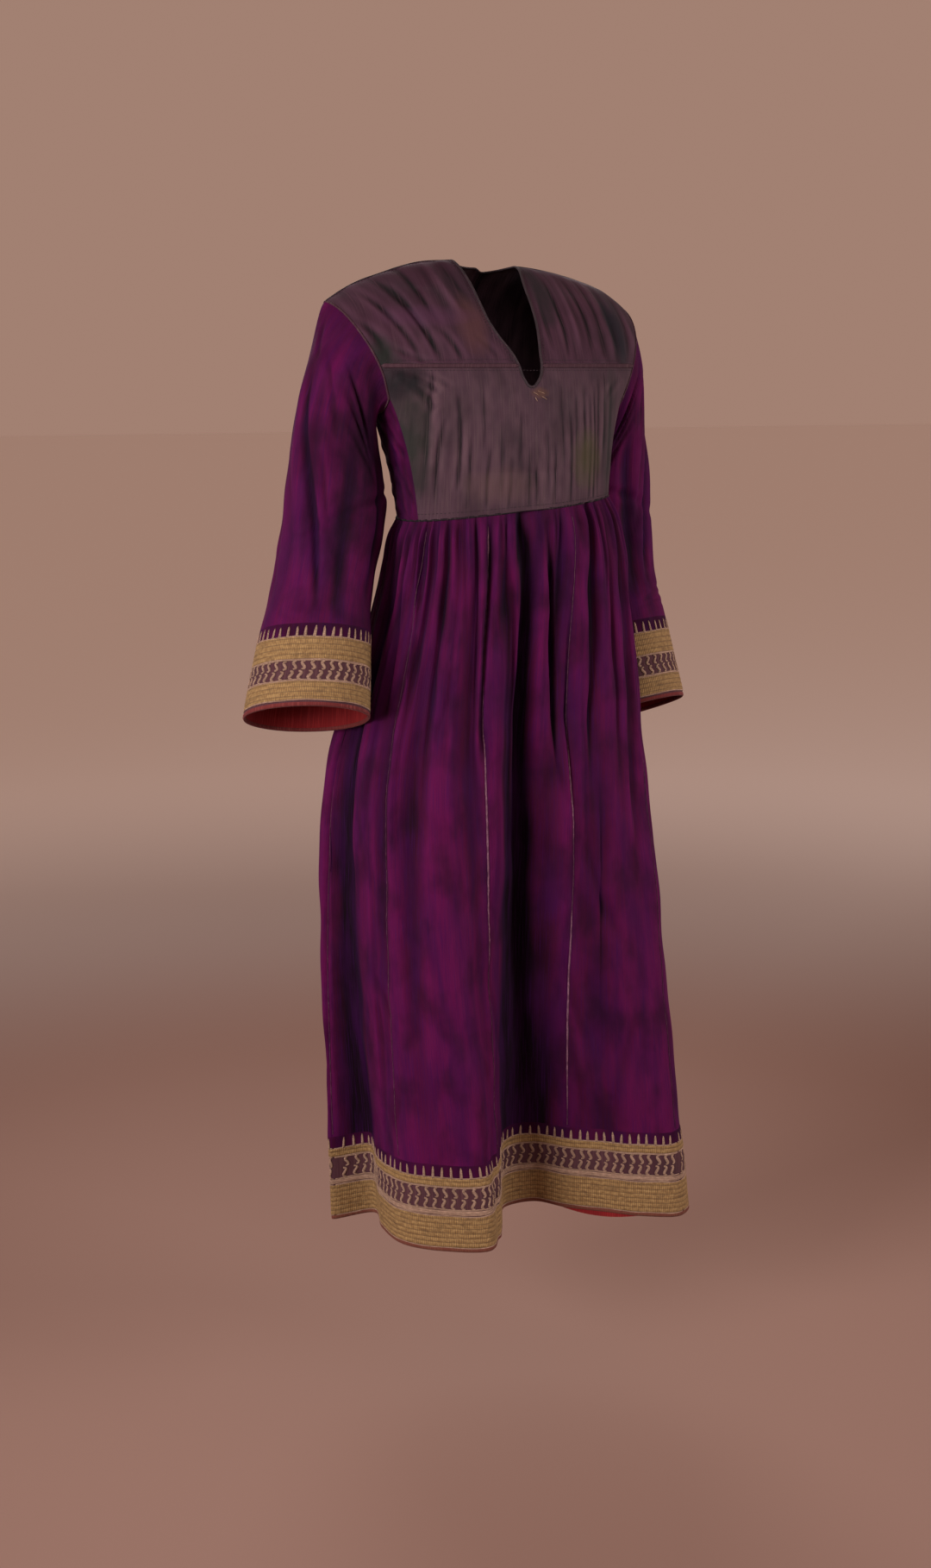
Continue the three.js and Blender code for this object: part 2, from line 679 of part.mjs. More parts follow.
// One section of the sleeve: its middle, and its arms towards the outer point and the front.
function sleeveSection(side, step) {
  const row = {};
  for (const column of ['outer', 'outerZ', 'inner', 'innerZ', 'y', 'half', 'lift']) {
    row[column] = read(SLEEVE, column, 'step', step);
  }
  const height = (row.outerZ + row.innerZ) / 2;
  const hang = Math.min(Math.max(-height / ARM_LENGTH, 0), 1.1);
  const shift = side.out * hang + side.flare * hang ** 4;
  return {
    middle: new THREE.Vector3(
      side.sign * ((row.outer + row.inner) / 2 + shift),
      row.y - side.forward * hang,
      height + side.raise * hang ** 2,
    ),
    reach: new THREE.Vector3(
      side.sign * (row.outer - row.inner) / 2, 0, (row.outerZ - row.innerZ) / 2,
    ),
    front: new THREE.Vector3(0, -row.half, row.lift),
  };
}

function sleevePoint(side, angle, step) {
  const section = sleeveSection(side, step);
  return section.middle
    .addScaledVector(section.reach, Math.cos(angle))
    .addScaledVector(section.front, Math.sin(angle));
}

// Where each armhole point lies round the sleeve, as an angle from its outer line.
function sleeveAngles(side, loop) {
  const section = sleeveSection(side, 1);
  const middle = loop.reduce((sum, { at }) => sum.add(at), new THREE.Vector3());
  middle.divideScalar(loop.length);
  const angles = loop.map(({ at }) => {
    const arm = at.clone().sub(middle);
    return Math.atan2(
      arm.dot(section.front) / section.front.lengthSq(),
      arm.dot(section.reach) / section.reach.lengthSq(),
    );
  });
  for (let i = 1; i < angles.length; i += 1) {
    while (angles[i] < angles[i - 1] - 1) angles[i] += 2 * Math.PI;
  }
  return angles;
}

// The sleeve's own start: the armhole edge moved a seam gap on along the bodice's cloth, with
// the way and the strength in which the sleeve's cloth leaves it.
function armholeEdge(side, loop, angles) {
  const under = sleeveSection(side, 1).middle;
  return loop.map((point, i) => {
    const before = loop[(i + loop.length - 1) % loop.length].at;
    const after = loop[(i + 1) % loop.length].at;
    const away = after.clone().sub(before).cross(point.out).normalize();
    if (away.dot(under.clone().sub(point.at)) < 0) away.negate();
    const below = Math.max(-Math.cos(angles[i]), 0) ** 2;
    const above = Math.max(Math.cos(angles[i]), 0) ** 2;
    const strength = mix(mix(CAP_LEAVE.side, CAP_LEAVE.top, above), CAP_LEAVE.under, below);
    return {
      at: point.at.clone().addScaledVector(away, SEAM),
      leave: away.clone().lerp(point.out, below).normalize().multiplyScalar(strength),
    };
  });
}

// The sleeve's points, ring by ring: it leaves the armhole and settles into its sections.
function sleeveRings(side, loop) {
  const angles = sleeveAngles(side, loop);
  const angleAt = (i, step) => {
    const even = angles[0] + i * 2 * Math.PI / loop.length;
    return mix(angles[i], even, Math.min((step - 1) / (EVEN_STEP - 1), 1));
  };
  const edge = armholeEdge(side, loop, angles);
  const cap = CAP_SHARES.map((share) => edge.map((start, i) => {
    const end = sleevePoint(side, angles[i], 1);
    const arrive = sleevePoint(side, angles[i], 1.5).sub(end).setLength(CAP_ARRIVE);
    return hermiteVector(start.at, end, start.leave, arrive, share);
  }));
  const arm = [...SLEEVE_STEPS, ...CUFF_STEPS].map((step) => {
    return loop.map((_, i) => sleevePoint(side, angleAt(i, step), step));
  });
  return [...cap, ...arm];
}

// Rings as rows that run to the right seen from outside, each point with its way out.
function ringRows(side, rings, loop) {
  const count = loop.length;
  return rings.map((ring, j) => {
    const row = ring.map((at, i) => {
      const right = ring[(i + 1) % count].clone().sub(ring[(i + count - 1) % count]);
      const below = rings[Math.min(j + 1, rings.length - 1)][i];
      const down = below.clone().sub(rings[Math.max(j - 1, 0)][i]);
      const out = down.cross(right).normalize().multiplyScalar(-side.sign);
      return { at: at.clone(), out: j === 0 ? loop[i].out.clone() : out, u: i / count };
    });
    if (side.sign < 0) return row;
    return row.reverse().map((point) => ({ ...point, u: 1 - point.u }));
  });
}

function sleeveParts(side) {
  const loop = armholeLoop(side);
  const rings = sleeveRings(side, loop);
  const split = CAP_SHARES.length + SLEEVE_STEPS.length - 1;
  const sleeve = ringRows(side, rings, loop).slice(0, split + 1);
  const cuff = ringRows(side, rings, loop).slice(split);
  const facing = ringRows(side, rings, loop).slice(-CUFF_FACING_RINGS);
  for (const point of facing.flat()) point.at.addScaledVector(point.out, -CLOTH - SEAM);
  pullIn(facing[facing.length - 1], facing[0], FACING_REST);
  return [
    wall(`sleeve_${side.name}`, 'silk', trimBottom(sleeve), { tube: true }),
    wall(`cuff_${side.name}`, 'embroidery', trimTop(cuff), { tube: true }),
    wall(`cuff_facing_${side.name}`, 'lining', facing, { tube: true, thickness: FACING }),
  ];
}

// -------------------------------------------------------------------------------- the skirt

const HEM_TURNS = hemTurns();

// Each hem row's share of the way round, by the length of the hem up to it.
function hemTurns() {
  const lengths = HEM.map((row, i) => {
    const next = HEM[(i + 1) % HEM.length];
    return Math.hypot(next.along - row.along, next.out - row.out);
  });
  const total = lengths.reduce((sum, length) => sum + length, 0);
  let walked = 0;
  return lengths.map((length) => {
    const turn = walked / total;
    walked += length;
    return turn;
  });
}

// A column of the hem table, smooth all the way round.
function readHem(values, turn) {
  const count = values.length;
  const place = turn - Math.floor(turn);
  let low = count - 1;
  while (low > 0 && HEM_TURNS[low] > place) low -= 1;
  const turnAt = (i) => HEM_TURNS[(i + count) % count] + Math.floor(i / count);
  const valueAt = (i) => values[(i + count) % count];
  const slope = (i) => (valueAt(i + 1) - valueAt(i)) / (turnAt(i + 1) - turnAt(i));
  const tangent = (i) => {
    const before = turnAt(i) - turnAt(i - 1);
    const after = turnAt(i + 1) - turnAt(i);
    return (slope(i - 1) * after + slope(i) * before) / (before + after);
  };
  const span = turnAt(low + 1) - turnAt(low);
  const t = (place - turnAt(low)) / span;
  return hermite(valueAt(low), valueAt(low + 1), tangent(low) * span, tangent(low + 1) * span, t);
}

function swung(along, out, swing, z) {
  const cos = Math.cos(swing * DEGREE);
  const sin = Math.sin(swing * DEGREE);
  return new THREE.Vector3(along * cos - out * sin, -along * sin - out * cos, z);
}

// The plain ring under the folds, at an angle round from the front.
function skirtRing(angle, z) {
  const size = {};
  for (const column of ['swing', 'middle', 'side', 'front', 'back']) {
    size[column] = read(SKIRT, column, 'z', z);
  }
  const centre = (size.front + size.back) / 2;
  const depth = (size.front - size.back) / 2;
  return {
    along: size.middle + size.side * signedPower(Math.sin(angle), 2 / SKIRT_POWER),
    out: centre + depth * signedPower(Math.cos(angle), 2 / SKIRT_POWER),
    swing: size.swing,
  };
}

// The threads hang straight, so the way round at a level makes up for the ring's swing there.
function skirtAngle(turn, level) {
  return (turn - FRONT_TURN) * 2 * Math.PI + read(SKIRT, 'swing', 'z', level) * DEGREE;
}

const HEM_SHIFTS = ['along', 'out'].map((column) => HEM.map((row, i) => {
  const ring = skirtRing(skirtAngle(HEM_TURNS[i], SKIRT_HEM), SKIRT_HEM);
  return row[column] - ring[column];
}));
const HEM_DROPS = HEM.map((row) => row.drop);

function gatherWave(turn, z) {
  const wander = GATHER_WANDER * Math.sin(2 * Math.PI * (3 * turn + 0.2))
    + GATHER_WANDER * 0.6 * Math.sin(2 * Math.PI * (7 * turn + 0.6));
  const wave = Math.cos(2 * Math.PI * GORES * GATHERS_PER_GORE * (turn + wander));
  return wave * read(GATHER_DEPTH, 'depth', 'z', z);
}

function foldHeight(turn, fall) {
  return FOLDS.reduce((height, fold) => {
    const share = (fall - fold.from) / (fold.to - fold.from);
    if (share <= 0 || share >= 1) return height;
    const middle = fold.turn + fold.lean * (share - 0.5);
    const strength = Math.sin(Math.PI * share ** 0.8);
    return height + fold.height * strength * softBump(turn, middle, fold.width);
  }, 0);
}

// The skirt at a share of the way round (turn) and of the way down (fall, 0 to 1).
function skirtPoint(turn, fall) {
  const top = waistLevel(skirtAngle(turn, WAIST_LEVEL)) - SEAM;
  const bottom = readHem(HEM_DROPS, turn);
  const z = mix(top, bottom, fall);
  const level = mix(WAIST_LEVEL, SKIRT_HEM, fall);
  const angle = skirtAngle(turn, level);
  const ring = skirtRing(angle, level);
  const grown = Math.max(fall, 0) ** FOLD_GROWTH;
  const along = ring.along + readHem(HEM_SHIFTS[0], turn) * grown;
  const out = ring.out + readHem(HEM_SHIFTS[1], turn) * grown;
  const raised = gatherWave(turn, level) + foldHeight(turn, fall);
  return swung(
    along + raised * Math.sin(angle), out + raised * Math.cos(angle), ring.swing, z,
  );
}

const SKIRT_LENGTH = WAIST_LEVEL - SKIRT_HEM;
const fallAt = (level) => (WAIST_LEVEL - level) / SKIRT_LENGTH;

function skirtRow(from, to, columns, fall) {
  return Array.from({ length: columns + 1 }, (_, i) => {
    const turn = mix(from, to, i / columns);
    const inside = Math.min(Math.max(fall, 0.002), 0.999);
    const point = clothPoint(skirtPoint, turn, inside, 0.0004, 0.002);
    return { at: skirtPoint(turn, fall), out: point.out, u: turn };
  });
}

function gore(number) {
  const from = FIRST_SEAM + number / GORES;
  const to = FIRST_SEAM + (number + 1) / GORES;
  const fine = GATHER_LEVELS.map((down) => down / SKIRT_LENGTH);
  const plain = [...GORE_LEVELS.map(fallAt), 1 - BAND_HEIGHT / SKIRT_LENGTH];
  const rows = [
    ...fine.map((fall) => skirtRow(from, to, FINE_COLUMNS, fall)),
    ...plain.map((fall) => skirtRow(from, to, PLAIN_COLUMNS, fall)),
  ];
  return wall(`skirt_gore_${number + 1}`, 'silk', trimBottom(trimSides(rows)));
}

const BAND_SPANS = [
  { name: 'front_right', from: 7, to: 9 },
  { name: 'front_left', from: 0, to: 2 },
  { name: 'back_left', from: 2, to: 4 },
  { name: 'back_right', from: 4, to: 7 },
];

function bandRows(span) {
  const from = FIRST_SEAM + span.from / GORES;
  const to = FIRST_SEAM + span.to / GORES;
  const columns = PLAIN_COLUMNS * (span.to - span.from);
  return BAND_STEPS.map((up) => {
    return skirtRow(from, to, columns, 1 - up * BAND_HEIGHT / SKIRT_LENGTH);
  });
}

function hemBand(span) {
  return wall(`hem_band_${span.name}`, 'embroidery', trimTop(trimSides(bandRows(span))));
}

// The facing lies inside the band: its rows are set between the band's own, a wall behind them.
function hemFacing(span) {
  const [, middle, hem] = bandRows(span);
  const reach = BAND_HEIGHT * BAND_STEPS[1];
  const rows = [FACING_HEIGHT, FACING_REST].map((up) => hem.map((point, i) => {
    const loose = 1 - up / FACING_HEIGHT;
    const dip = FACING_DIP.depth * softBump(point.u, FACING_DIP.at, FACING_DIP.width) * loose;
    const share = 1 - (up - dip) / reach;
    const behind = [middle[i], point].map(({ at, out }) => {
      return at.clone().addScaledVector(out, -CLOTH - SEAM);
    });
    return { at: behind[0].lerp(behind[1], share), out: point.out.clone(), u: point.u };
  }));
  return wall(`hem_facing_${span.name}`, 'lining', trimSides(rows), { thickness: FACING });
}

// -------------------------------------------------------------------------------- the dress

const dress = new THREE.Group();
dress.add(frontPanel(), backPanel());
for (const side of SIDES) dress.add(frontYoke(side), sidePanel(side), ...sleeveParts(side));
for (let number = 0; number < GORES; number += 1) dress.add(gore(number));
for (const span of BAND_SPANS) dress.add(hemBand(span), hemFacing(span));

export default dress;
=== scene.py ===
"""A full-length gathered dress in its worn form: its cloth, embroidery, sewing and finishes.

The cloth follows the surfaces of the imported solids, worked out here on finer grids, with the
smaller creases and gathers added. Sizes are in millimetres until a mesh is made, in metres.
+Z is up, +X is the wearer's left and -Y the wearer's front, from the base of the neck.
"""

import logging
import math
from dataclasses import dataclass, field, replace
from enum import Enum, IntEnum
from typing import Callable, Iterable, Optional

import bpy
import numpy as np
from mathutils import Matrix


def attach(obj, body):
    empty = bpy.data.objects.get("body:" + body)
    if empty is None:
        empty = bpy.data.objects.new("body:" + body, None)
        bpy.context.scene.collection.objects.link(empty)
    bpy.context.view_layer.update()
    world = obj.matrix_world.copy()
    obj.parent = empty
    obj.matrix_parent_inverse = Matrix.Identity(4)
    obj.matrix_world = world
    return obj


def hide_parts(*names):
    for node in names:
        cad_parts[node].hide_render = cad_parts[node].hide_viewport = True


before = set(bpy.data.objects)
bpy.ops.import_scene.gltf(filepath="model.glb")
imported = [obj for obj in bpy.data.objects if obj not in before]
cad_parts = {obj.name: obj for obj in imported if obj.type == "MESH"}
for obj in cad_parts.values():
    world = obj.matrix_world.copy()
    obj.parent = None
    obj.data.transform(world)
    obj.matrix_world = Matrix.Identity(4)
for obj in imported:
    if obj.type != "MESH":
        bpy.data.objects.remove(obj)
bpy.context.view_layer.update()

LOG = logging.getLogger("dress")
MM = 0.001
TAU = 2 * math.pi
DEGREE = math.pi / 180
Array = np.ndarray
Arrays = tuple[Array, Array]
Colour = tuple[float, float, float]
Piece = bpy.types.Object
Socket = bpy.types.NodeSocket

SEAM = 0.3
CLOTH = 1.4


# -------- numbers and tables


def unit(vectors: Array) -> Array:
    """The same directions at length one."""
    return vectors / np.maximum(np.linalg.norm(vectors, axis=-1, keepdims=True), 1e-9)


def mix(start: Array, end: Array, share: Array) -> Array:
    """A value between start (share 0) and end (share 1)."""
    return start + (end - start) * share


def shares(steps: int) -> Array:
    """Even shares from 0 to 1 with this many steps between them."""
    return np.linspace(0, 1, steps + 1)


def joined(*parts: Array) -> Array:
    """The parts side by side along a new last axis."""
    return np.stack(parts, axis=-1)


def eased(share: Array) -> Array:
    """A share held to 0 and 1, with a soft start and a soft end."""
    share = np.clip(share, 0, 1)
    return share * share * (3 - 2 * share)


def signed_power(value: Array, power: float) -> Array:
    """A power of the size of a value, which keeps its sign."""
    return np.sign(value) * np.abs(value) ** power


def hermite(start: Array, end: Array, leave: Array, arrive: Array, t: Array) -> Array:
    """A smooth step from start to end.

    Args:
        start: the value at t = 0.
        end: the value at t = 1.
        leave: the slope at the start.
        arrive: the slope at the end.
        t: the share of the way.

    Returns:
        The value at t.
    """
    square, cube = t * t, t * t * t
    rising = 3 * square - 2 * cube
    return (1 - rising) * start + rising * end + (cube - 2 * square + t) * leave + (cube - square) * arrive


def soft_bump(at: Array, middle: Array, width: float) -> Array:
    """1 at the middle and 0 from one width away, on a line that closes on itself at 1."""
    away = np.abs((at - middle + 0.5) % 1 - 0.5) / width
    return np.where(away >= 1, 0, (1 - away * away) ** 2)


class Table:
    """A short table of sizes that is read smoothly between its rows."""

    def __init__(self, columns: str, rows: Iterable[tuple[float, ...]]) -> None:
        """Sorts the rows and works out the slope at each.

        Args:
            columns: the columns' names, the key first.
            rows: a tuple for each row, in the columns' order.
        """
        self.names = columns.split()[1:]
        ordered = np.array(sorted(rows), float)
        self.keys, self.values = ordered[:, 0], ordered[:, 1:]
        spans = np.diff(self.keys)[:, None]
        slopes = np.diff(self.values, axis=0) / spans
        inner = (slopes[:-1] * spans[1:] + slopes[1:] * spans[:-1]) / (spans[:-1] + spans[1:])
        self.slopes = np.vstack([slopes[:1], inner, slopes[-1:]])

    def read(self, column: str, at: Array) -> Array:
        """One column's smooth value.

        Args:
            column: the column's name.
            at: keys to read at, held to the table's range.

        Returns:
            The values, in the shape of at.
        """
        j = self.names.index(column)
        place = np.clip(at, self.keys[0], self.keys[-1])
        low = np.clip(np.searchsorted(self.keys, place, side="right") - 1, 0, len(self.keys) - 2)
        span = self.keys[low + 1] - self.keys[low]
        values, slopes = self.values[:, j], self.slopes[:, j]
        return hermite(
            values[low], values[low + 1], slopes[low] * span, slopes[low + 1] * span,
            (place - self.keys[low]) / span,
        )


# -------- cloth as grids


# How fast a crease deepens from its ends, how far cloth rises beside it, and the waves of a ripple.
CREASE_RUN = 0.6
CREASE_LIP = 0.6
RIPPLE_WAVES = 7


@dataclass(frozen=True)
class Crease:
    """A soft trough in cloth, or a ridge where its depth is below 0, in the cloth's own sizes."""

    start: tuple[float, float]
    end: tuple[float, float]
    width: float
    depth: float
    bow: float = 0.0

    def height(self, flat: Array, period: float = 0.0) -> Array:
        """How far the crease raises the cloth.

        Args:
            flat: places on the cloth, (..., 2).
            period: the way round, on cloth that closes on itself.

        Returns:
            Heights in the shape of the places.
        """
        offset = flat - np.array(self.start)
        if period:
            middle = (self.end[0] - self.start[0]) / 2
            offset[..., 0] = (offset[..., 0] - middle + period / 2) % period - period / 2 + middle
        line = np.array(self.end) - np.array(self.start)
        length = float(np.hypot(*line))
        along = line / length
        t = np.clip(offset @ along / length, 0, 1)
        sideways = offset @ np.array([-along[1], along[0]]) - self.bow * 4 * t * (1 - t)
        beyond = offset @ along - t * length
        q = (sideways**2 + beyond**2) / self.width**2
        return -self.depth * np.sin(math.pi * t) ** CREASE_RUN * (1 - CREASE_LIP * q) * np.exp(-q)


def creases(*rows: tuple[float, ...]) -> tuple[Crease, ...]:
    """Creases from rows of their two ends (four numbers), width, depth and bow."""
    return tuple(Crease(row[:2], row[2:4], *row[4:]) for row in rows)


def crease_heights(flat: Array, several: Iterable[Crease], period: float = 0.0) -> Array:
    """The heights of several creases together, at places on the cloth."""
    return sum((crease.height(flat, period) for crease in several), np.zeros(flat.shape[:-1]))


def ripple(flat: Array, wave: float, depth: float, seed: int, period: float = 0.0) -> Array:
    """Slight unevenness of handled cloth.

    Args:
        flat: places on the cloth, (..., 2).
        wave: the usual distance between two ripples.
        depth: how far they rise.
        seed: which set of ripples.
        period: the way round, on cloth that closes on itself.

    Returns:
        Heights in the shape of the places.
    """
    random = np.random.default_rng(seed)
    total = np.zeros(flat.shape[:-1])
    for _ in range(RIPPLE_WAVES):
        turn = random.uniform(0, TAU)
        length = wave * random.uniform(0.7, 1.6)
        across, down = math.cos(turn) / length, 0.6 * math.sin(turn) / length
        if period:
            across = round(across * period) / period
        total += np.sin(TAU * (flat[..., 0] * across + flat[..., 1] * down + random.uniform()))
    return total * depth / 3


@dataclass
class ClothGrid:
    """Points of a cloth, in rows that run down and columns that run right seen from outside.

    A closed grid's last column lies on its first. flat holds each point's place on the cloth.
    """

    points: Array
    flat: Array
    closed: bool = False

    def normals(self) -> Array:
        """The way out of the cloth at each point.

        Returns:
            A direction of length one for each point.
        """
        right = np.gradient(self.points, axis=1)
        if self.closed:
            right[:, 0] = right[:, -1] = self.points[:, 1] - self.points[:, -2]
        down = np.gradient(self.points, axis=0)
        return unit(np.cross(down, right))

    def raised(self, height: Array) -> "ClothGrid":
        """The same cloth with each point moved out by a height."""
        return ClothGrid(self.points + self.normals() * height[..., None], self.flat, self.closed)

    def part(self, rows: slice, columns: slice) -> "ClothGrid":
        """Some rows and columns of the cloth."""
        return ClothGrid(self.points[rows, columns], self.flat[rows, columns])

    def fade(self, reach: float, all_round: bool = True) -> Array:
        """Shares that go from 0 at the cloth's edges to 1 inside them.

        Args:
            reach: the distance over which the share rises.
            all_round: whether it is 0 at each edge, or else at the first row alone.

        Returns:
            A share for each point.
        """
        down = np.linalg.norm(np.diff(self.points, axis=0), axis=-1)
        across = np.linalg.norm(np.diff(self.points, axis=1), axis=-1)
        zero_row, zero_column = np.zeros((1, down.shape[1])), np.zeros((across.shape[0], 1))
        away = np.vstack([zero_row, np.cumsum(down, axis=0)])
        if all_round:
            away = np.minimum(away, np.vstack([np.cumsum(down[::-1], axis=0)[::-1], zero_row]))
            away = np.minimum(away, np.hstack([zero_column, np.cumsum(across, axis=1)]))
            away = np.minimum(away, np.hstack([np.cumsum(across[:, ::-1], axis=1)[:, ::-1], zero_column]))
        return eased(away / reach)

    def relief(self, reach: int, scale: float) -> Array:
        """How far each point stands out of its surroundings, from 0 in a fold to 1 on a crest. The finishes
        paint shade and highlight into the cloth's colour by it.

        Args:
            reach: the number of columns each way that count as surroundings.
            scale: the height that counts as full.

        Returns:
            A share for each point, 0.5 on smooth cloth.
        """
        mode = "wrap" if self.closed else "edge"
        own = self.points[:, : -1 if self.closed else None]
        padded = np.pad(own, ((0, 0), (reach, reach), (0, 0)), mode)
        sums = np.cumsum(np.pad(padded, ((0, 0), (1, 0), (0, 0))), axis=1)
        mean = (sums[:, 2 * reach + 1 :] - sums[:, : -2 * reach - 1]) / (2 * reach + 1)
        if self.closed:
            mean = np.concatenate([mean, mean[:, :1]], axis=1)
        standing = ((self.points - mean) * self.normals()).sum(-1)
        return np.clip(0.5 + standing / (2 * scale), 0, 1)

    def sample(self, across: Array, above: Array) -> Arrays:
        """Places on an even grid's cloth, between its points too.

        Args:
            across: distances on the cloth, as in flat's first column.
            above: heights over the grid's last row, on the cloth.

        Returns:
            The points and the ways out there.
        """
        rows, columns = self.points.shape[:2]
        first, last = self.flat[0, 0], self.flat[-1, -1]
        j = np.clip((across - first[0]) / (last[0] - first[0]) * (columns - 1), 0, columns - 1.001)
        i = np.clip((1 - above / abs(last[1] - first[1])) * (rows - 1), 0, rows - 1.001)
        low_i, low_j = i.astype(int), j.astype(int)
        t_i, t_j = (i - low_i)[..., None], (j - low_j)[..., None]
        found = []
        for values in (self.points, self.normals()):
            upper = mix(values[low_i, low_j], values[low_i, low_j + 1], t_j)
            lower = mix(values[low_i + 1, low_j], values[low_i + 1, low_j + 1], t_j)
            found.append(mix(upper, lower, t_i))
        return found[0], unit(found[1])


# -------- meshes


def mesh_piece(name: str, vertices: Array, faces: Array, places: Array) -> Piece:
    """A smooth mesh object.

    Args:
        name: the piece's name.
        vertices: points in millimetres.
        faces: four vertex numbers a face.
        places: each face corner's place on the cloth, in millimetres.

    Returns:
        The new object.
    """
    mesh = bpy.data.meshes.new(name)
    mesh.from_pydata((vertices * MM).tolist(), [], faces.tolist())
    layer = mesh.uv_layers.new(name="cloth")
    layer.data.foreach_set("uv", (places * MM).astype(np.float32).ravel())
    mesh.shade_smooth()
    piece = bpy.data.objects.new(name, mesh)
    bpy.context.scene.collection.objects.link(piece)
    return piece


def cells_of(rows: int, columns: int) -> Array:
    """The numbers of the four points round each cell of a grid."""
    corner = np.arange(rows * columns).reshape(rows, columns)
    return joined(corner[:-1, :-1], corner[1:, :-1], corner[1:, 1:], corner[:-1, 1:])


def cloth_piece(
    name: str, grid: ClothGrid, relief: Optional[Array] = None, keep: Optional[Array] = None
) -> Piece:
    """A cloth shell over a grid.

    Args:
        name: the piece's name.
        grid: the cloth's points.
        relief: a share for each point, from deep in a fold to a crest, by which shade and highlight are
            painted.
        keep: which cells of the grid are cloth, where not all are.

    Returns:
        The new object.
    """
    rows, columns = grid.points.shape[:2]
    cells = cells_of(rows, columns)
    cells = cells.reshape(-1, 4) if keep is None else cells[keep]
    places = grid.flat.reshape(-1, 2)[cells.ravel()]
    corner = np.arange(rows * columns).reshape(rows, columns)
    if grid.closed:
        corner[:, -1] = corner[:, 0]
    used, faces = np.unique(corner.ravel()[cells], return_inverse=True)
    piece = mesh_piece(name, grid.points.reshape(-1, 3)[used], faces.reshape(-1, 4), places)
    standing = np.full(len(used), 0.5) if relief is None else relief.ravel()[used]
    layer = piece.data.attributes.new("relief", "FLOAT", "POINT")
    layer.data.foreach_set("value", standing.astype(np.float32))
    return piece


# A bar's sides, and the corners of the two faces that close each of its ends.
RING_SIDES = 6
START_FACES = ((3, 2, 1, 0), (0, 5, 4, 3))
END_FACES = ((0, 1, 2, 3), (0, 3, 4, 5))


def bars(points: Array, normals: Array, half_width: Array, rise: Array, closed: bool = False) -> Arrays:
    """Closed rounded bars along lines of points.

    Args:
        points: (bars, steps, 3).
        normals: the way out of the cloth at each point.
        half_width: for each step, half the bar's width on the cloth.
        rise: for each step, half its height.
        closed: whether each line meets its own start.

    Returns:
        The bars' vertices and faces.
    """
    if closed:
        along = np.roll(points, -1, axis=1) - np.roll(points, 1, axis=1)
    else:
        along = np.gradient(points, axis=1)
    across = unit(np.cross(normals, unit(along)))
    count, steps = points.shape[:2]
    angles = np.arange(RING_SIDES) * TAU / RING_SIDES
    width = np.broadcast_to(half_width, (count, steps))[..., None, None]
    height = np.broadcast_to(rise, (count, steps))[..., None, None]
    ring = points[:, :, None] + across[:, :, None] * width * np.cos(angles)[:, None]
    ring = ring + normals[:, :, None] * height * np.sin(angles)[:, None]
    corner = np.arange(count * steps * RING_SIDES).reshape(count, steps, RING_SIDES)
    after = np.roll(corner, -1, axis=2)
    if closed:
        start, end = corner, np.roll(corner, -1, axis=1)
        start_after, end_after = after, np.roll(after, -1, axis=1)
    else:
        start, end, start_after, end_after = corner[:, :-1], corner[:, 1:], after[:, :-1], after[:, 1:]
    faces = [joined(start, start_after, end_after, end).reshape(-1, 4)]
    if not closed:
        for ends, orders in ((corner[:, 0], START_FACES), (corner[:, -1], END_FACES)):
            faces.extend(ends[:, list(order)] for order in orders)
    return ring.reshape(-1, 3), np.concatenate(faces)


def bars_piece(name: str, sets: list[Arrays]) -> Piece:
    """One mesh object of several sets of bars, whose cloth places run along X and Z.

    Args:
        name: the piece's name.
        sets: vertices and faces of each set.

    Returns:
        The new object.
    """
    vertices = np.concatenate([points for points, _ in sets])
    starts = np.cumsum([0] + [len(points) for points, _ in sets[:-1]])
    faces = np.concatenate([faces + start for start, (_, faces) in zip(starts, sets)])
    around = vertices[:, 0] - vertices[:, 1]
    places = joined(around, vertices[:, 2])[faces.ravel()]
    return mesh_piece(name, vertices, faces, places)


def even_line(points: Array, normals: Array, step: float, closed: bool = False) -> Arrays:
    """A line's points again, an even step apart.

    Args:
        points: the line's points.
        normals: the way out at each.
        step: the distance wanted.
        closed: whether the line meets its own start.

    Returns:
        The new points and ways out.
    """
    if closed:
        points, normals = np.vstack([points, points[:1]]), np.vstack([normals, normals[:1]])
    walked = np.concatenate([[0], np.cumsum(np.linalg.norm(np.diff(points, axis=0), axis=1))])
    count = max(int(round(walked[-1] / step)), 3)
    places = np.linspace(0, walked[-1], count + 1)
    if closed:
        places = places[:-1]
    line = joined(*(np.interp(places, walked, points[:, k]) for k in range(3)))
    outs = joined(*(np.interp(places, walked, normals[:, k]) for k in range(3)))
    return line, unit(outs)


def smooth_line(points: Array, passes: int, closed: bool = False) -> Array:
    """A line with its corners eased, its ends kept unless it is closed.

    Args:
        points: the line.
        passes: how often it is eased.
        closed: whether it meets its own start.

    Returns:
        The eased line.
    """
    for _ in range(passes):
        softer = (np.roll(points, 1, axis=0) + 2 * points + np.roll(points, -1, axis=0)) / 4
        if not closed:
            softer[0], softer[-1] = points[0], points[-1]
        points = softer
    return points


@dataclass(frozen=True)
class Cord:
    """A seam, binding or piping: half its width and height, its lift off its line, its rings' step."""

    half_width: float
    rise: float
    lift: float = 0.0
    step: float = 2.0


NECK_BINDING = Cord(1.7, 1.2)
YOKE_TAPE = Cord(2.8, 1.1, lift=0.2)
SHOULDER_SEAM = Cord(1.6, 0.9, lift=-0.1)
ARMHOLE_PIPING = Cord(1.3, 1.1)
CUFF_BINDING = Cord(3.0, 1.6)
WAIST_SEAM = Cord(1.5, 1.1)
HEM_BINDING = Cord(3.4, 1.9, step=2.6)

# How far in from the cloth a binding's middle lies.
BINDING_INSET = 0.8


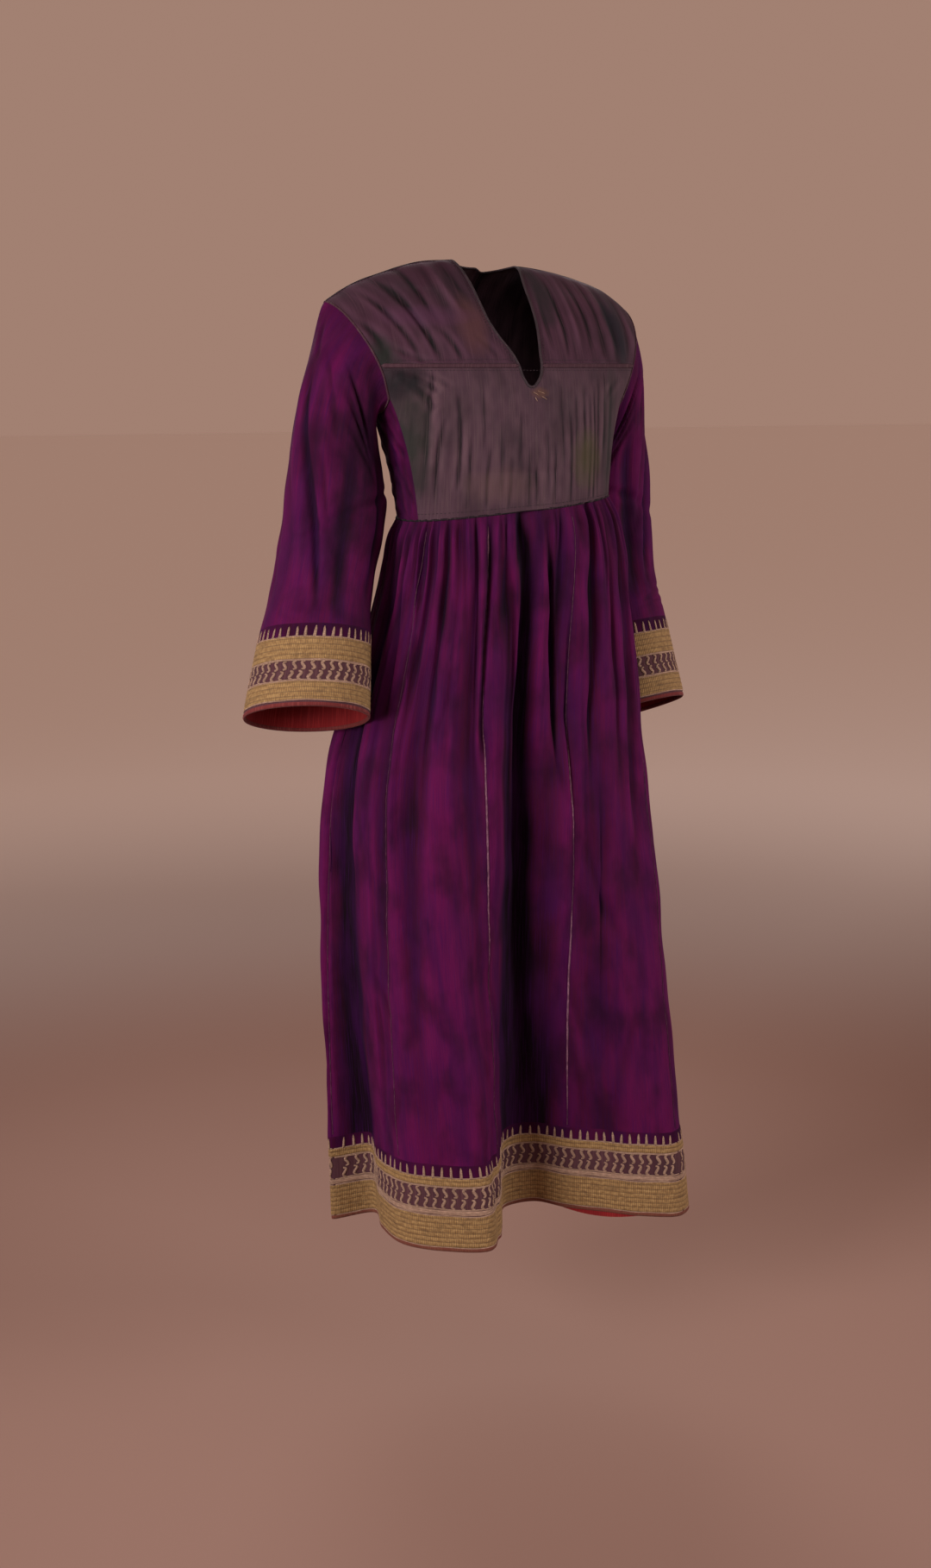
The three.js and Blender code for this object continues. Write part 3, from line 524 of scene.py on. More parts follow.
def rope(name: str, points: Array, normals: Array, cord: Cord, closed: bool = False) -> Piece:
    """A seam, binding or piping along a line.

    Args:
        name: the piece's name.
        points: the line.
        normals: the way out of the cloth along it.
        cord: its sizes.
        closed: whether the line meets its own start.

    Returns:
        The new object.
    """
    line, outs = even_line(points, normals, cord.step, closed)
    line = line + outs * cord.lift
    widths = np.full(len(line), cord.half_width)
    if not closed:
        tapered = np.clip(np.sin(np.linspace(0, math.pi, len(line))) * len(line) / 6, 0.15, 1)
        widths = cord.half_width * tapered
    return bars_piece(name, [bars(line[None], outs[None], widths, np.full(len(line), cord.rise), closed)])


# A stitch's thickness along its length, and how far a laid thread's middle stands off the cloth.
STITCH_SHAPE = np.array([0.5, 1, 1, 0.5])
STITCH_STEPS = len(STITCH_SHAPE)
THREAD_STANDS = 0.25


@dataclass(frozen=True)
class Stitch:
    """A running stitch: its length, the gap to the next one and half its thread's width."""

    length: float
    gap: float
    half_width: float


SEAM_STITCH = Stitch(2.6, 1.6, 0.3)
SLIT_STITCH = Stitch(2.4, 1.8, 0.28)
WAIST_STITCH = Stitch(3.0, 2.2, 0.3)
GORE_STITCH = Stitch(2.6, 3.4, 0.3)


def stitches(points: Array, normals: Array, stitch: Stitch) -> Arrays:
    """Running stitches along a line on the cloth.

    Args:
        points: the line.
        normals: the way out of the cloth along it.
        stitch: the kind of stitch.

    Returns:
        The stitches' vertices and faces.
    """
    spaces = STITCH_STEPS - 1
    fine, outs = even_line(points + normals * THREAD_STANDS, normals, stitch.length / spaces)
    stride = spaces + max(int(round(stitch.gap / stitch.length * spaces)), 1)
    starts = np.arange(0, len(fine) - STITCH_STEPS, stride)
    index = starts[:, None] + np.arange(STITCH_STEPS)
    shape = stitch.half_width * STITCH_SHAPE
    return bars(fine[index], outs[index], shape, shape)


# -------- finishes


class Weave(Enum):
    """How a cloth's yarns cross."""

    PLAIN = "plain"
    SATIN = "satin"


@dataclass(frozen=True)
class Patch:
    """A darker or lighter place on a panel, at a place and with a reach in its own millimetres: some are
    stains, and those marked so are painted shade and painted highlight.
    """

    at: tuple[float, float]
    reach: tuple[float, float]
    colour: Colour
    strength: float


class Shader:
    """A node material that is put together from named steps. Its sizes are in millimetres."""

    def __init__(self, name: str) -> None:
        """Starts a material with a plain surface.

        Args:
            name: the material's name.
        """
        self.material = bpy.data.materials.new(name)
        self.material.use_nodes = True
        self.tree = self.material.node_tree
        self.surface = self.tree.nodes["Principled BSDF"]
        self.cloth = self.add("UVMap")
        self.cloth.uv_map = "cloth"

    def add(self, kind: str, feeds: Optional[dict] = None, **settings) -> bpy.types.Node:
        """A new node.

        Args:
            kind: the node's type, without its prefix.
            feeds: what goes into its sockets, by the socket's name or number.
            settings: the node's own options.

        Returns:
            The node.
        """
        node = self.tree.nodes.new("ShaderNode" + kind)
        for option, value in settings.items():
            setattr(node, option, value)
        for socket, value in (feeds or {}).items():
            self.feed(node.inputs[socket], value)
        return node

    def feed(self, socket: Socket, value: object) -> None:
        """Links a socket to another one, or sets its own value.

        Args:
            socket: the socket that takes the value.
            value: another node's output or a constant.
        """
        if isinstance(value, Socket):
            self.tree.links.new(value, socket)
        else:
            socket.default_value = value

    def set(self, **values: object) -> None:
        """Sets the surface's constant sockets, whose names have _ for a space."""
        for name, value in values.items():
            self.surface.inputs[name.replace("_", " ")].default_value = value

    def sized(self, across: float, along: float) -> Socket:
        """The place on the cloth, in steps of these sizes."""
        scale = (1 / (across * MM), 1 / (along * MM), 1)
        return self.add("Mapping", {"Vector": self.cloth.outputs[0], "Scale": scale}).outputs[0]

    def noise(self, across: float, along: float, detail: float = 2.0) -> Socket:
        """Uneven values from 0 to 1 whose blots have these sizes."""
        feeds = {"Vector": self.sized(across, along), "Scale": 1.0, "Detail": detail}
        return self.add("TexNoise", feeds, noise_dimensions="2D").outputs[0]

    def math(self, kind: str, first: object, second: object = 0.0, third: float = 0.5) -> Socket:
        """A Math node's result."""
        return self.add("Math", {0: first, 1: second, 2: third}, operation=kind).outputs[0]

    def threads(self, pitch: float, axis: int) -> Socket:
        """Even waves from 0 to 1 across one axis of the cloth.

        Args:
            pitch: the distance from one thread to the next.
            axis: 0 for across the cloth, 1 for along it.

        Returns:
            The height of the threads.
        """
        parts = self.add("SeparateXYZ", {0: self.sized(pitch, pitch)})
        wave = self.math("SINE", self.math("MULTIPLY", parts.outputs[axis], TAU))
        return self.math("MULTIPLY_ADD", wave, 0.5, 0.5)

    def spread(self, value: object, low: float, high: float) -> Socket:
        """The share of the way from low to high, held to 0 and 1."""
        return self.add("MapRange", {"Value": value, "From Min": low, "From Max": high}).outputs[0]

    def blend(self, share: object, first: object, second: object) -> Socket:
        """A colour between two."""
        colours = [(*value, 1.0) if isinstance(value, tuple) else value for value in (first, second)]
        return self.add("Mix", {0: share, 6: colours[0], 7: colours[1]}, data_type="RGBA").outputs[2]

    def patch(self, patch: Patch) -> Socket:
        """A ragged share that is 1 in the middle of a patch and 0 outside it.

        Args:
            patch: its place, reach and strength.

        Returns:
            The share.
        """
        parts = self.add("SeparateXYZ", {0: self.cloth.outputs[0]})
        distance: object = 0.0
        for axis in (0, 1):
            away = self.math("SUBTRACT", parts.outputs[axis], patch.at[axis] * MM)
            scaled = self.math("DIVIDE", away, patch.reach[axis] * MM)
            distance = self.math("ADD", distance, self.math("POWER", self.math("ABSOLUTE", scaled), 2.0))
        ragged = self.math("ADD", distance, self.math("MULTIPLY", self.noise(14, 24, 4.0), 0.9))
        return self.math("MULTIPLY", self.spread(ragged, 1.5, 0.45), patch.strength)

    def bump(self, height: object, distance: float, below: object = None) -> Socket:
        """Fine relief of a depth in millimetres, over other relief where given.

        Args:
            height: the relief's height, from 0 to 1.
            distance: its depth.
            below: the normal that it stands on.

        Returns:
            The new normal.
        """
        node = self.add("Bump", {"Height": height, "Strength": 1.0, "Distance": distance * MM})
        if below is not None:
            self.feed(node.inputs["Normal"], below)
        return node.outputs[0]

    def finish(self, colour: object, roughness: object, normal: object = None) -> bpy.types.Material:
        """Joins the last steps to the surface and gives the material.

        Args:
            colour: the surface's colour.
            roughness: its roughness.
            normal: its relief, where it has one.

        Returns:
            The material.
        """
        self.feed(self.surface.inputs["Base Color"], colour)
        self.feed(self.surface.inputs["Roughness"], roughness)
        if normal is not None:
            self.feed(self.surface.inputs["Normal"], normal)
        return self.material


# How far wear changes the roughness of cloth and of thread, and the yarns that satin floats over.
WORN_ROUGHNESS = 0.22
MOTTLED_ROUGHNESS = 0.3
SATIN_FLOAT = 4


@dataclass(frozen=True)
class ClothFinish:
    """A woven cloth: its flat colour, a painted highlight on crests and painted shade in folds, its gloss
    and its yarns.
    """

    name: str
    base: Colour
    # crest is a painted highlight where the cloth stands out; fold is painted shade in folds, and also the
    # colour of random blots and of the yarns' darker tint.
    crest: Colour
    fold: Colour
    glint: Colour
    roughness: float = 0.9
    gloss: float = 0.2
    sheen: float = 0.08
    sheen_tint: Colour = (0.8, 0.5, 0.5)
    anisotropy: float = 0.0
    weave: Weave = Weave.PLAIN
    pitch: float = 0.6
    crinkle: float = 0.0
    streaks: float = 0.5
    shot: Colour = (0.0, 0.0, 0.0)
    shot_share: float = 0.0
    patches: tuple[Patch, ...] = ()

    def material(self) -> bpy.types.Material:
        """Builds the node material.

        Returns:
            The material.
        """
        shade = Shader(self.name)
        relief = shade.add("Attribute", attribute_name="relief").outputs["Fac"]
        # Painted shade in folds and painted highlight on crests, by the relief attribute.
        colour = shade.blend(shade.spread(relief, 0.12, 0.5), self.fold, self.base)
        colour = shade.blend(shade.spread(relief, 0.52, 0.9), colour, self.crest)
        yarns = shade.spread(shade.noise(1.3, 60, 3.0), 0.50, 0.72)
        colour = shade.blend(shade.math("MULTIPLY", yarns, self.streaks), colour, self.glint)
        if self.shot_share:
            turns = shade.spread(shade.noise(26, 150, 3.0), 0.42, 0.66)
            colour = shade.blend(shade.math("MULTIPLY", turns, self.shot_share), colour, self.shot)
        blots = shade.spread(shade.noise(45, 70, 3.0), 0.45, 0.72)
        colour = shade.blend(shade.math("MULTIPLY", blots, 0.5), colour, self.fold)
        for patch in self.patches:
            colour = shade.blend(shade.patch(patch), colour, patch.colour)
        colour = shade.blend(shade.math("MULTIPLY", self.yarn_height(shade), 0.22), colour, self.fold)
        bump = shade.bump(self.yarn_height(shade), 0.06)
        bump = shade.bump(shade.noise(1.6, 26, 3.0), 0.12, bump)
        if self.crinkle:
            bump = shade.bump(shade.noise(3.2, 38, 3.0), self.crinkle, bump)
        worn = shade.math("MULTIPLY", shade.noise(9, 30, 3.0), WORN_ROUGHNESS)
        roughness = shade.math("ADD", worn, self.roughness - WORN_ROUGHNESS / 2)
        shade.set(Sheen_Weight=self.sheen, Sheen_Tint=(*self.sheen_tint, 1.0), Sheen_Roughness=0.4)
        shade.set(Specular_IOR_Level=self.gloss, Anisotropic=self.anisotropy)
        return shade.finish(colour, roughness, bump)

    def yarn_height(self, shade: Shader) -> Socket:
        """The height of the yarns over the cloth, from 0 to 1, by the kind of weave.

        Args:
            shade: the material that the nodes go into.

        Returns:
            The height.
        """
        if self.weave is Weave.SATIN:
            return shade.math("MULTIPLY_ADD", shade.threads(self.pitch * SATIN_FLOAT, 1), 0.3, 0.5)
        return shade.math("MULTIPLY", shade.threads(self.pitch, 0), shade.threads(self.pitch, 1))


@dataclass(frozen=True)
class ThreadFinish:
    """Metal or silk thread laid side by side and couched down: its colours, wear, the painted shade between
    its strands, and its pitch.
    """

    name: str
    base: Colour
    bright: Colour
    # worn is the colour of rubbed-off thread and of the couching rows, and also the painted shade between
    # strands.
    worn: Colour
    metal: float = 0.0
    roughness: float = 0.9
    pitch: float = 2.0
    couching: float = 6.4
    wear: float = 0.35

    def material(self) -> bpy.types.Material:
        """Builds the node material.

        Returns:
            The material.
        """
        shade = Shader(self.name)
        strands = shade.threads(self.pitch, 0)
        rows = shade.threads(self.couching, 1)
        mottled = shade.noise(5, 4, 4.0)
        colour = shade.blend(shade.spread(mottled, 0.35, 0.7), self.base, self.bright)
        # Painted shade in the grooves between the strands, in the worn colour.
        between = shade.math("MULTIPLY", shade.spread(strands, 0.5, 0.05), 0.72)
        colour = shade.blend(between, colour, self.worn)
        tied = shade.math("MULTIPLY", shade.spread(rows, 0.2, 0.0), 0.55)
        colour = shade.blend(tied, colour, self.worn)
        losses = shade.math("MULTIPLY", shade.spread(shade.noise(16, 10, 5.0), 0.56, 0.72), self.wear)
        colour = shade.blend(losses, colour, self.worn)
        bump = shade.bump(strands, 0.32)
        bump = shade.bump(rows, 0.35, bump)
        bump = shade.bump(shade.noise(0.9, 0.9, 2.0), 0.16, bump)
        worn = shade.math("MULTIPLY", mottled, MOTTLED_ROUGHNESS)
        roughness = shade.math("ADD", worn, self.roughness - MOTTLED_ROUGHNESS / 2)
        shade.set(Metallic=self.metal, Specular_IOR_Level=0.35)
        return shade.finish(colour, roughness, bump)


SHOT_SILK = ClothFinish(
    name="shot_silk",
    base=(0.035, 0.001, 0.0165), crest=(0.066, 0.002, 0.034), fold=(0.004, 0.0002, 0.0028),
    glint=(0.026, 0.0015, 0.04), shot=(0.022, 0.001, 0.026), shot_share=0.55,
    roughness=0.84, gloss=0.07, sheen=0.02, sheen_tint=(0.45, 0.05, 0.7),
    pitch=0.5, crinkle=0.45, anisotropy=0.3,
)
# The right sleeve's silk: painted shade darkens its inner side and a strip along its main crease, and a
# painted highlight lightens it low on its outer side.
PAINTED_SHADE_SLEEVE_SILK = replace(
    SHOT_SILK,
    name="sleeve_silk",
    patches=(
        Patch((122, 130), (44, 160), (0.006, 0.0004, 0.0045), 0.8),
        Patch((70, 150), (9, 120), (0.006, 0.0004, 0.004), 0.6),
        Patch((30, 230), (20, 120), (0.05, 0.002, 0.034), 0.5),
    ),
)
YOKE_SATIN = ClothFinish(
    name="yoke_satin",
    base=(0.035, 0.011, 0.021), crest=(0.068, 0.025, 0.044), fold=(0.004, 0.002, 0.003),
    glint=(0.052, 0.02, 0.031), roughness=0.8, gloss=0.15, sheen=0.03, sheen_tint=(0.6, 0.3, 0.5),
    weave=Weave.SATIN, pitch=0.4, crinkle=0.35, streaks=0.8, anisotropy=0.4,
    patches=(
        Patch((-60, -70), (22, 40), (0.06, 0.02, 0.018), 0.6),
        # Painted shadow at the right armhole by the yoke seam.
        Patch((-168, -112), (24, 34), (0.006, 0.007, 0.005), 0.9),
        Patch((-110, -60), (60, 14), (0.06, 0.018, 0.044), 0.5),
        Patch((146, -70), (18, 62), (0.008, 0.007, 0.011), 0.9),
        Patch((44, -30), (14, 50), (0.009, 0.007, 0.008), 0.8),
    ),
)
BODICE_SATIN = ClothFinish(
    name="bodice_satin",
    base=(0.042, 0.018, 0.027), crest=(0.076, 0.037, 0.048), fold=(0.008, 0.003, 0.005),
    glint=(0.06, 0.031, 0.037), roughness=0.82, gloss=0.15, sheen=0.03,
    sheen_tint=(0.7, 0.45, 0.5),
    weave=Weave.SATIN, pitch=0.4, crinkle=0.6, streaks=0.95, anisotropy=0.4,
    patches=(
        Patch((-138, -205), (24, 86), (0.01, 0.011, 0.008), 0.85),
        # Painted shade in the pocket under the right arm.
        Patch((-150, -136), (34, 22), (0.004, 0.003, 0.004), 0.95),
        Patch((122, -200), (16, 90), (0.014, 0.013, 0.012), 0.7),
        Patch((80, -225), (26, 40), (0.052, 0.044, 0.016), 0.6),
        Patch((12, -148), (14, 7), (0.09, 0.038, 0.02), 0.6),
        Patch((-40, -255), (50, 24), (0.078, 0.04, 0.036), 0.4),
    ),
)
RED_FACING = ClothFinish(
    name="red_facing",
    base=(0.13, 0.0055, 0.0065), crest=(0.165, 0.009, 0.01), fold=(0.085, 0.003, 0.004),
    glint=(0.34, 0.03, 0.03), gloss=0.15, sheen=0.1, sheen_tint=(0.8, 0.3, 0.3),
)
PLUM_GROUND = ClothFinish(
    name="plum_ground",
    base=(0.045, 0.013, 0.018), crest=(0.062, 0.02, 0.028), fold=(0.02, 0.006, 0.01),
    glint=(0.11, 0.05, 0.05), sheen_tint=(0.6, 0.4, 0.5),
)
RUST_BINDING = ClothFinish(
    name="rust_binding",
    base=(0.15, 0.042, 0.025), crest=(0.2, 0.062, 0.038), fold=(0.09, 0.022, 0.014),
    glint=(0.16, 0.075, 0.04), sheen_tint=(0.8, 0.5, 0.4),
)
ROSE_BINDING = ClothFinish(
    name="rose_binding",
    base=(0.15, 0.022, 0.022), crest=(0.19, 0.036, 0.034), fold=(0.085, 0.01, 0.01),
    glint=(0.22, 0.06, 0.05),
)
PIPING = ClothFinish(
    name="plum_piping",
    base=(0.062, 0.024, 0.036), crest=(0.086, 0.037, 0.05), fold=(0.034, 0.012, 0.018),
    glint=(0.115, 0.06, 0.066), roughness=0.85, gloss=0.15, sheen=0.02,
    sheen_tint=(0.7, 0.5, 0.6), pitch=0.5,
)
GOLD_BAND = ThreadFinish(
    name="gold_couching",
    base=(0.196, 0.102, 0.034), bright=(0.32, 0.188, 0.074), worn=(0.062, 0.03, 0.014),
    metal=0.25, roughness=0.85,
)
PALE_THREAD = ThreadFinish(
    name="pale_thread",
    base=(0.275, 0.155, 0.104), bright=(0.41, 0.25, 0.175), worn=(0.14, 0.078, 0.05),
    metal=0.1, pitch=0.8, couching=2.2, wear=0.2,
)
SEAM_THREAD = ThreadFinish(
    name="seam_thread",
    base=(0.052, 0.008, 0.027), bright=(0.105, 0.036, 0.062), worn=(0.03, 0.0015, 0.016),
    pitch=0.9, couching=40, wear=0.9,
)
WORN_THREAD = ThreadFinish(
    name="worn_thread",
    base=(0.13, 0.045, 0.075), bright=(0.24, 0.11, 0.15), worn=(0.055, 0.006, 0.03),
    pitch=0.9, couching=30, wear=0.6,
)
DARK_THREAD = ThreadFinish(
    name="dark_thread",
    base=(0.018, 0.007, 0.011), bright=(0.038, 0.016, 0.022), worn=(0.01, 0.004, 0.006),
    roughness=0.85, pitch=0.8, couching=30, wear=0.3,
)


class Wardrobe:
    """Makes each finish once and puts it on pieces that ride on the dress."""

    def __init__(self) -> None:
        """Starts with no material made."""
        self.made: dict[str, bpy.types.Material] = {}

    def top_of_band(self, piece: Piece, faces: int) -> None:
        """Makes the first faces of a band's ground, under its teeth, of the dress's own silk.

        Args:
            piece: the band's ground.
            faces: how many faces, from its upper edge down.
        """
        piece.data.materials.append(self.made[SHOT_SILK.name])
        for polygon in piece.data.polygons[:faces]:
            polygon.material_index = 1

    def dress(self, piece: Piece, finish: ClothFinish | ThreadFinish, slot: str, *nodes: str) -> Piece:
        """Gives a piece its finish and its body, and hides the solids that it stands for.

        Args:
            piece: the piece.
            finish: what it is made of.
            slot: not used.
            nodes: the solids that it replaces.

        Returns:
            The piece.
        """
        if finish.name not in self.made:
            self.made[finish.name] = finish.material()
        piece.data.materials.append(self.made[finish.name])
        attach(piece, "root")
        if nodes:
            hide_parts(*nodes)
        area = sum(polygon.area for polygon in piece.data.polygons)
        LOG.info("%s: %d faces, %.3f square metres", piece.name, len(piece.data.polygons), area)
        return piece


# -------- the torso's surface


class Face(IntEnum):
    """A face of the bodice, as the sign of y on that side."""

    FRONT = -1
    BACK = 1


ROUNDING = {Face.FRONT: 1.6, Face.BACK: 2.0}
BUST_LEVEL = -150.0
YOKE_SEAM = -117.0
SLIT_END = -141.0
WAIST_LEVEL = -284.0
WAIST_TILT = 13.0
ARMHOLE_TURN = -155.0
UNDERARM = -172.0
SIDE_SEAM = 70.5 * DEGREE
TORSO_POWER = 2.3

TORSO = Table("z middle side front back", [
    (-310, 4, 132, -117, 50), (-250, 2, 138, -121, 60), (-200, 0, 147, -122, 72), (-150, 0, 165, -117, 84),
    (-122, 0, 184, -114, 90), (-80, 0, 213, -110, 94), (-38, 0, 239, -106, 94), (10, 0, 264, -104, 94),
])
SHOULDER = Table("out y right left", [
    (0, 2, 8, 2), (50, 4, 7, 0), (90, 14, 4, -5), (130, 24, -8, -13), (170, 33, -24, -26),
    (195, 38, -40, -43), (230, 42, -66, -68),
])
SLIT = Table("z right left", [
    (-141, -3, 5), (-130, -9, 14), (-117, -12, 18), (-103, -18, 19), (-83, -31, 22), (-65, -39, 24),
    (-45, -43, 25), (-24, -46, 26), (8, -50, 38),
])
NECK_MIDDLE, NECK_HALF = -6.0, 43.0
BACK_NECK_SCOOP = 22 * DEGREE
BACK_NECK_LEVEL = 8.0
SHOULDER_TIP = 199.0

# The angles at which the lines under the slit's two edges reach the waist, the power by which the
# rows of a panel take on the waist's tilt, and the distance of the side strips from the middle.
UNDER_SLIT = (-0.06, 0.1)
TILT_POWER = 6
STRIP_RADIUS = 90

# The loose stitches at the slit's end, as x and z of their two ends, and half their thread's width.
SLIT_END_STITCHES = ((2, -147, 9, -151), (8, -146, 17, -149), (13, -152, 20, -156), (4, -153, 7, -158))
SLIT_END_HALF_WIDTH = 0.4


@dataclass(frozen=True)
class Side:
    """One side of the dress, and how its arm hangs."""

    name: str
    sign: int
    forward: float
    out: float
    flare: float
    raised: float


SIDES = (Side("right", -1, 57, 21, 0, 28), Side("left", 1, -33, -10, 15, -4))


def torso_point(angle: Array, z: Array) -> Array:
    """The torso at an angle round from the front to the wearer's left, below the bust.

    Args:
        angle: the angle.
        z: the height.

    Returns:
        The points.
    """
    front, back = TORSO.read("front", z), TORSO.read("back", z)
    x = TORSO.read("middle", z) + TORSO.read("side", z) * signed_power(np.sin(angle), 2 / TORSO_POWER)
    y = (front + back) / 2 - (back - front) / 2 * signed_power(np.cos(angle), 2 / TORSO_POWER)
    return joined(*np.broadcast_arrays(x, y, z))


ARMHOLE = Table("z out", [
    (ARMHOLE_TURN, float(torso_point(SIDE_SEAM, ARMHOLE_TURN)[0])),
    (-121, 165), (-105, 171), (-78, 182), (-50, 193), (-36, 199),
])


def shoulder_height(x: Array) -> Array:
    """The height of the shoulder line at a distance from the middle."""
    out = np.abs(x)
    return np.where(x < 0, SHOULDER.read("right", out), SHOULDER.read("left", out))


def bodice_depth(x: Array, z: Array, face: Face) -> Array:
    """How far back the front or the back of the bodice lies.

    Args:
        x: places across.
        z: heights.
        face: which face of the bodice.

    Returns:
        The depths, as y.
    """
    front, back = TORSO.read("front", z), TORSO.read("back", z)
    reach = np.minimum(np.abs(x - TORSO.read("middle", z)) / TORSO.read("side", z), 1)
    flat = (front + back) / 2 + face * (back - front) / 2 * (1 - reach**TORSO_POWER) ** (1 / TORSO_POWER)
    top_y, top_z = SHOULDER.read("y", np.abs(x)), shoulder_height(x)
    climb = np.clip((z - BUST_LEVEL) / (top_z - BUST_LEVEL), 0, 1)
    rounded = top_y + (flat - top_y) * (1 - climb ** ROUNDING[face]) ** (1 / ROUNDING[face])
    return np.where(z <= BUST_LEVEL, flat, rounded)


def bodice_point(x: Array, z: Array, face: Face) -> Array:
    """The bodice at a place across and a height, half a seam gap out."""
    return joined(*np.broadcast_arrays(x, bodice_depth(x, z, face) + face * SEAM / 2, z))


CLIMB_ROUNDS = 8


def climb_along(x_at: Callable[[Array], Array], rise: Array, face: Face) -> Arrays:
    """The way up from the yoke seam (rise 0) to the shoulder line (rise 1), where x changes with height.

    Args:
        x_at: x by height.
        rise: shares of the climb.
        face: which face of the bodice.

    Returns:
        x and z.
    """
    rounding = ROUNDING[face]
    z = np.full(np.shape(rise), YOKE_SEAM)
    x = z
    for _ in range(CLIMB_ROUNDS):
        x = x_at(z)
        height = shoulder_height(x) - BUST_LEVEL
        start = np.arcsin(((YOKE_SEAM - BUST_LEVEL) / height) ** (rounding / 2))
        z = BUST_LEVEL + height * np.sin(mix(start, math.pi / 2, rise)) ** (2 / rounding)
    return x, z


def front_angle(x: Array, z: Array) -> Array:
    """The angle round the torso at which x lies on the front."""
    reach = np.clip((x - TORSO.read("middle", z)) / TORSO.read("side", z), -1, 1)
    return np.arcsin(signed_power(reach, TORSO_POWER / 2))


def side_angle(z: Array) -> Array:
    """The angle of the side seam or of the armhole's edge, by height."""
    return np.where(z <= ARMHOLE_TURN, SIDE_SEAM, front_angle(ARMHOLE.read("out", z), z))


def waist_level(angle: Array) -> Array:
    """The height of the waist seam."""
    return WAIST_LEVEL + WAIST_TILT * np.sin(angle)


def underarm_level(angle: Array) -> Array:
    """The height of the side panel's upper edge."""
    away = (np.abs(angle) - math.pi / 2) / (math.pi / 2 - SIDE_SEAM)
    return UNDERARM + (ARMHOLE_TURN - UNDERARM) * away**2


# -------- the bodice


def mirrored(several: Iterable[Crease]) -> tuple[Crease, ...]:
    """The same creases on the other side of the middle, a little wider and shallower.

    Args:
        several: the creases.

    Returns:
        The mirrored ones.
    """
    return tuple(
        Crease((-c.start[0], c.start[1]), (-c.end[0], c.end[1]), c.width * 1.1, c.depth * 0.8, -c.bow)
        for c in several
    )


YOKE_CREASES = creases(
    (-150, -14, -104, -112, 6, 2.6, 5), (-138, -22, -109, -104, 4, 1.7, 3),
    (-172, -30, -126, -116, 5, 1.9, 6), (-118, -2, -96, -70, 4.5, 1.3, -3),
    (-99, -74, -80, -112, 5, 1.9, 2), (-88, 4, -64, -66, 7, -1.6, -4), (-70, 2, -52, -48, 5, 1, -2),
    (-184, -64, -158, -114, 6, 2, 4), (-160, -92, -112, -114, 5, 1.4, -3),
    (-62, -80, -34, -112, 5, 0.9, 2), (54, -6, 58, -106, 4.5, 2.2, 4), (40, -20, 38, -100, 4, 1.3, -2),
    (72, -8, 74, -112, 5.5, -1.5, 3), (90, -14, 95, -98, 4.5, 1.8, 4), (112, -14, 112, -108, 5, 1.5, 5),
    (134, -20, 133, -114, 7, 2.6, 5), (160, -30, 154, -112, 6, 1.4, 4),
)
BODICE_CREASES = creases(
    (-91, -150, -92, -262, 3.2, 1.7, 2), (-106, -176, -112, -276, 3.6, 1.5, -4),
    (-128, -150, -126, -272, 4, 1.6, 3), (-139, -170, -137, -268, 3.6, 1.2, 2),
    (-118, -122, -121, -196, 3.8, 1.3, -2), (-78, -196, -80, -282, 2.8, 0.9, 1),
    (-64, -130, -63, -214, 3.4, 0.7, 2), (-54, -212, -57, -284, 3, 1, -2),
    (-41, -180, -40, -270, 3.2, 0.8, 1), (-28, -222, -31, -288, 2.8, 0.9, 1),
    (-14, -168, -15, -248, 3, 0.7, -2), (-4, -210, -4, -288, 3, 1.1, 1), (6, -226, 7, -290, 2.4, 1.3, -1),
    (18, -184, 20, -276, 3, 0.8, 2), (31, -206, 30, -290, 2.6, 1, 1), (42, -140, 43, -236, 3.2, 0.8, -1),
    (52, -160, 54, -286, 2.8, 1.2, 2), (63, -148, 64, -262, 2.8, 1, -1),
    (74, -136, 75, -250, 2.6, 1.1, 1), (84, -150, 84, -284, 2.6, 1.4, 1),
    (91, -140, 92, -290, 2.4, 1.8, 1), (99, -130, 99, -280, 2.6, 1.3, -1),
    (109, -124, 108, -240, 3.4, 1.2, 2), (121, -136, 120, -280, 4, 1.5, 2),
)
BODICE_PULLS = creases(
    (-150, -132, -116, -168, 7, 3, 3), (-160, -128, -112, -146, 6, 3, 4),
    (-142, -124, -100, -140, 5, 1.3, 2), (-60, -176, 40, -182, 5, 0.5, 2),
    (-70, -238, 70, -236, 6, 0.6, -3), (140, -132, 112, -158, 6, 1.6, -3),
)


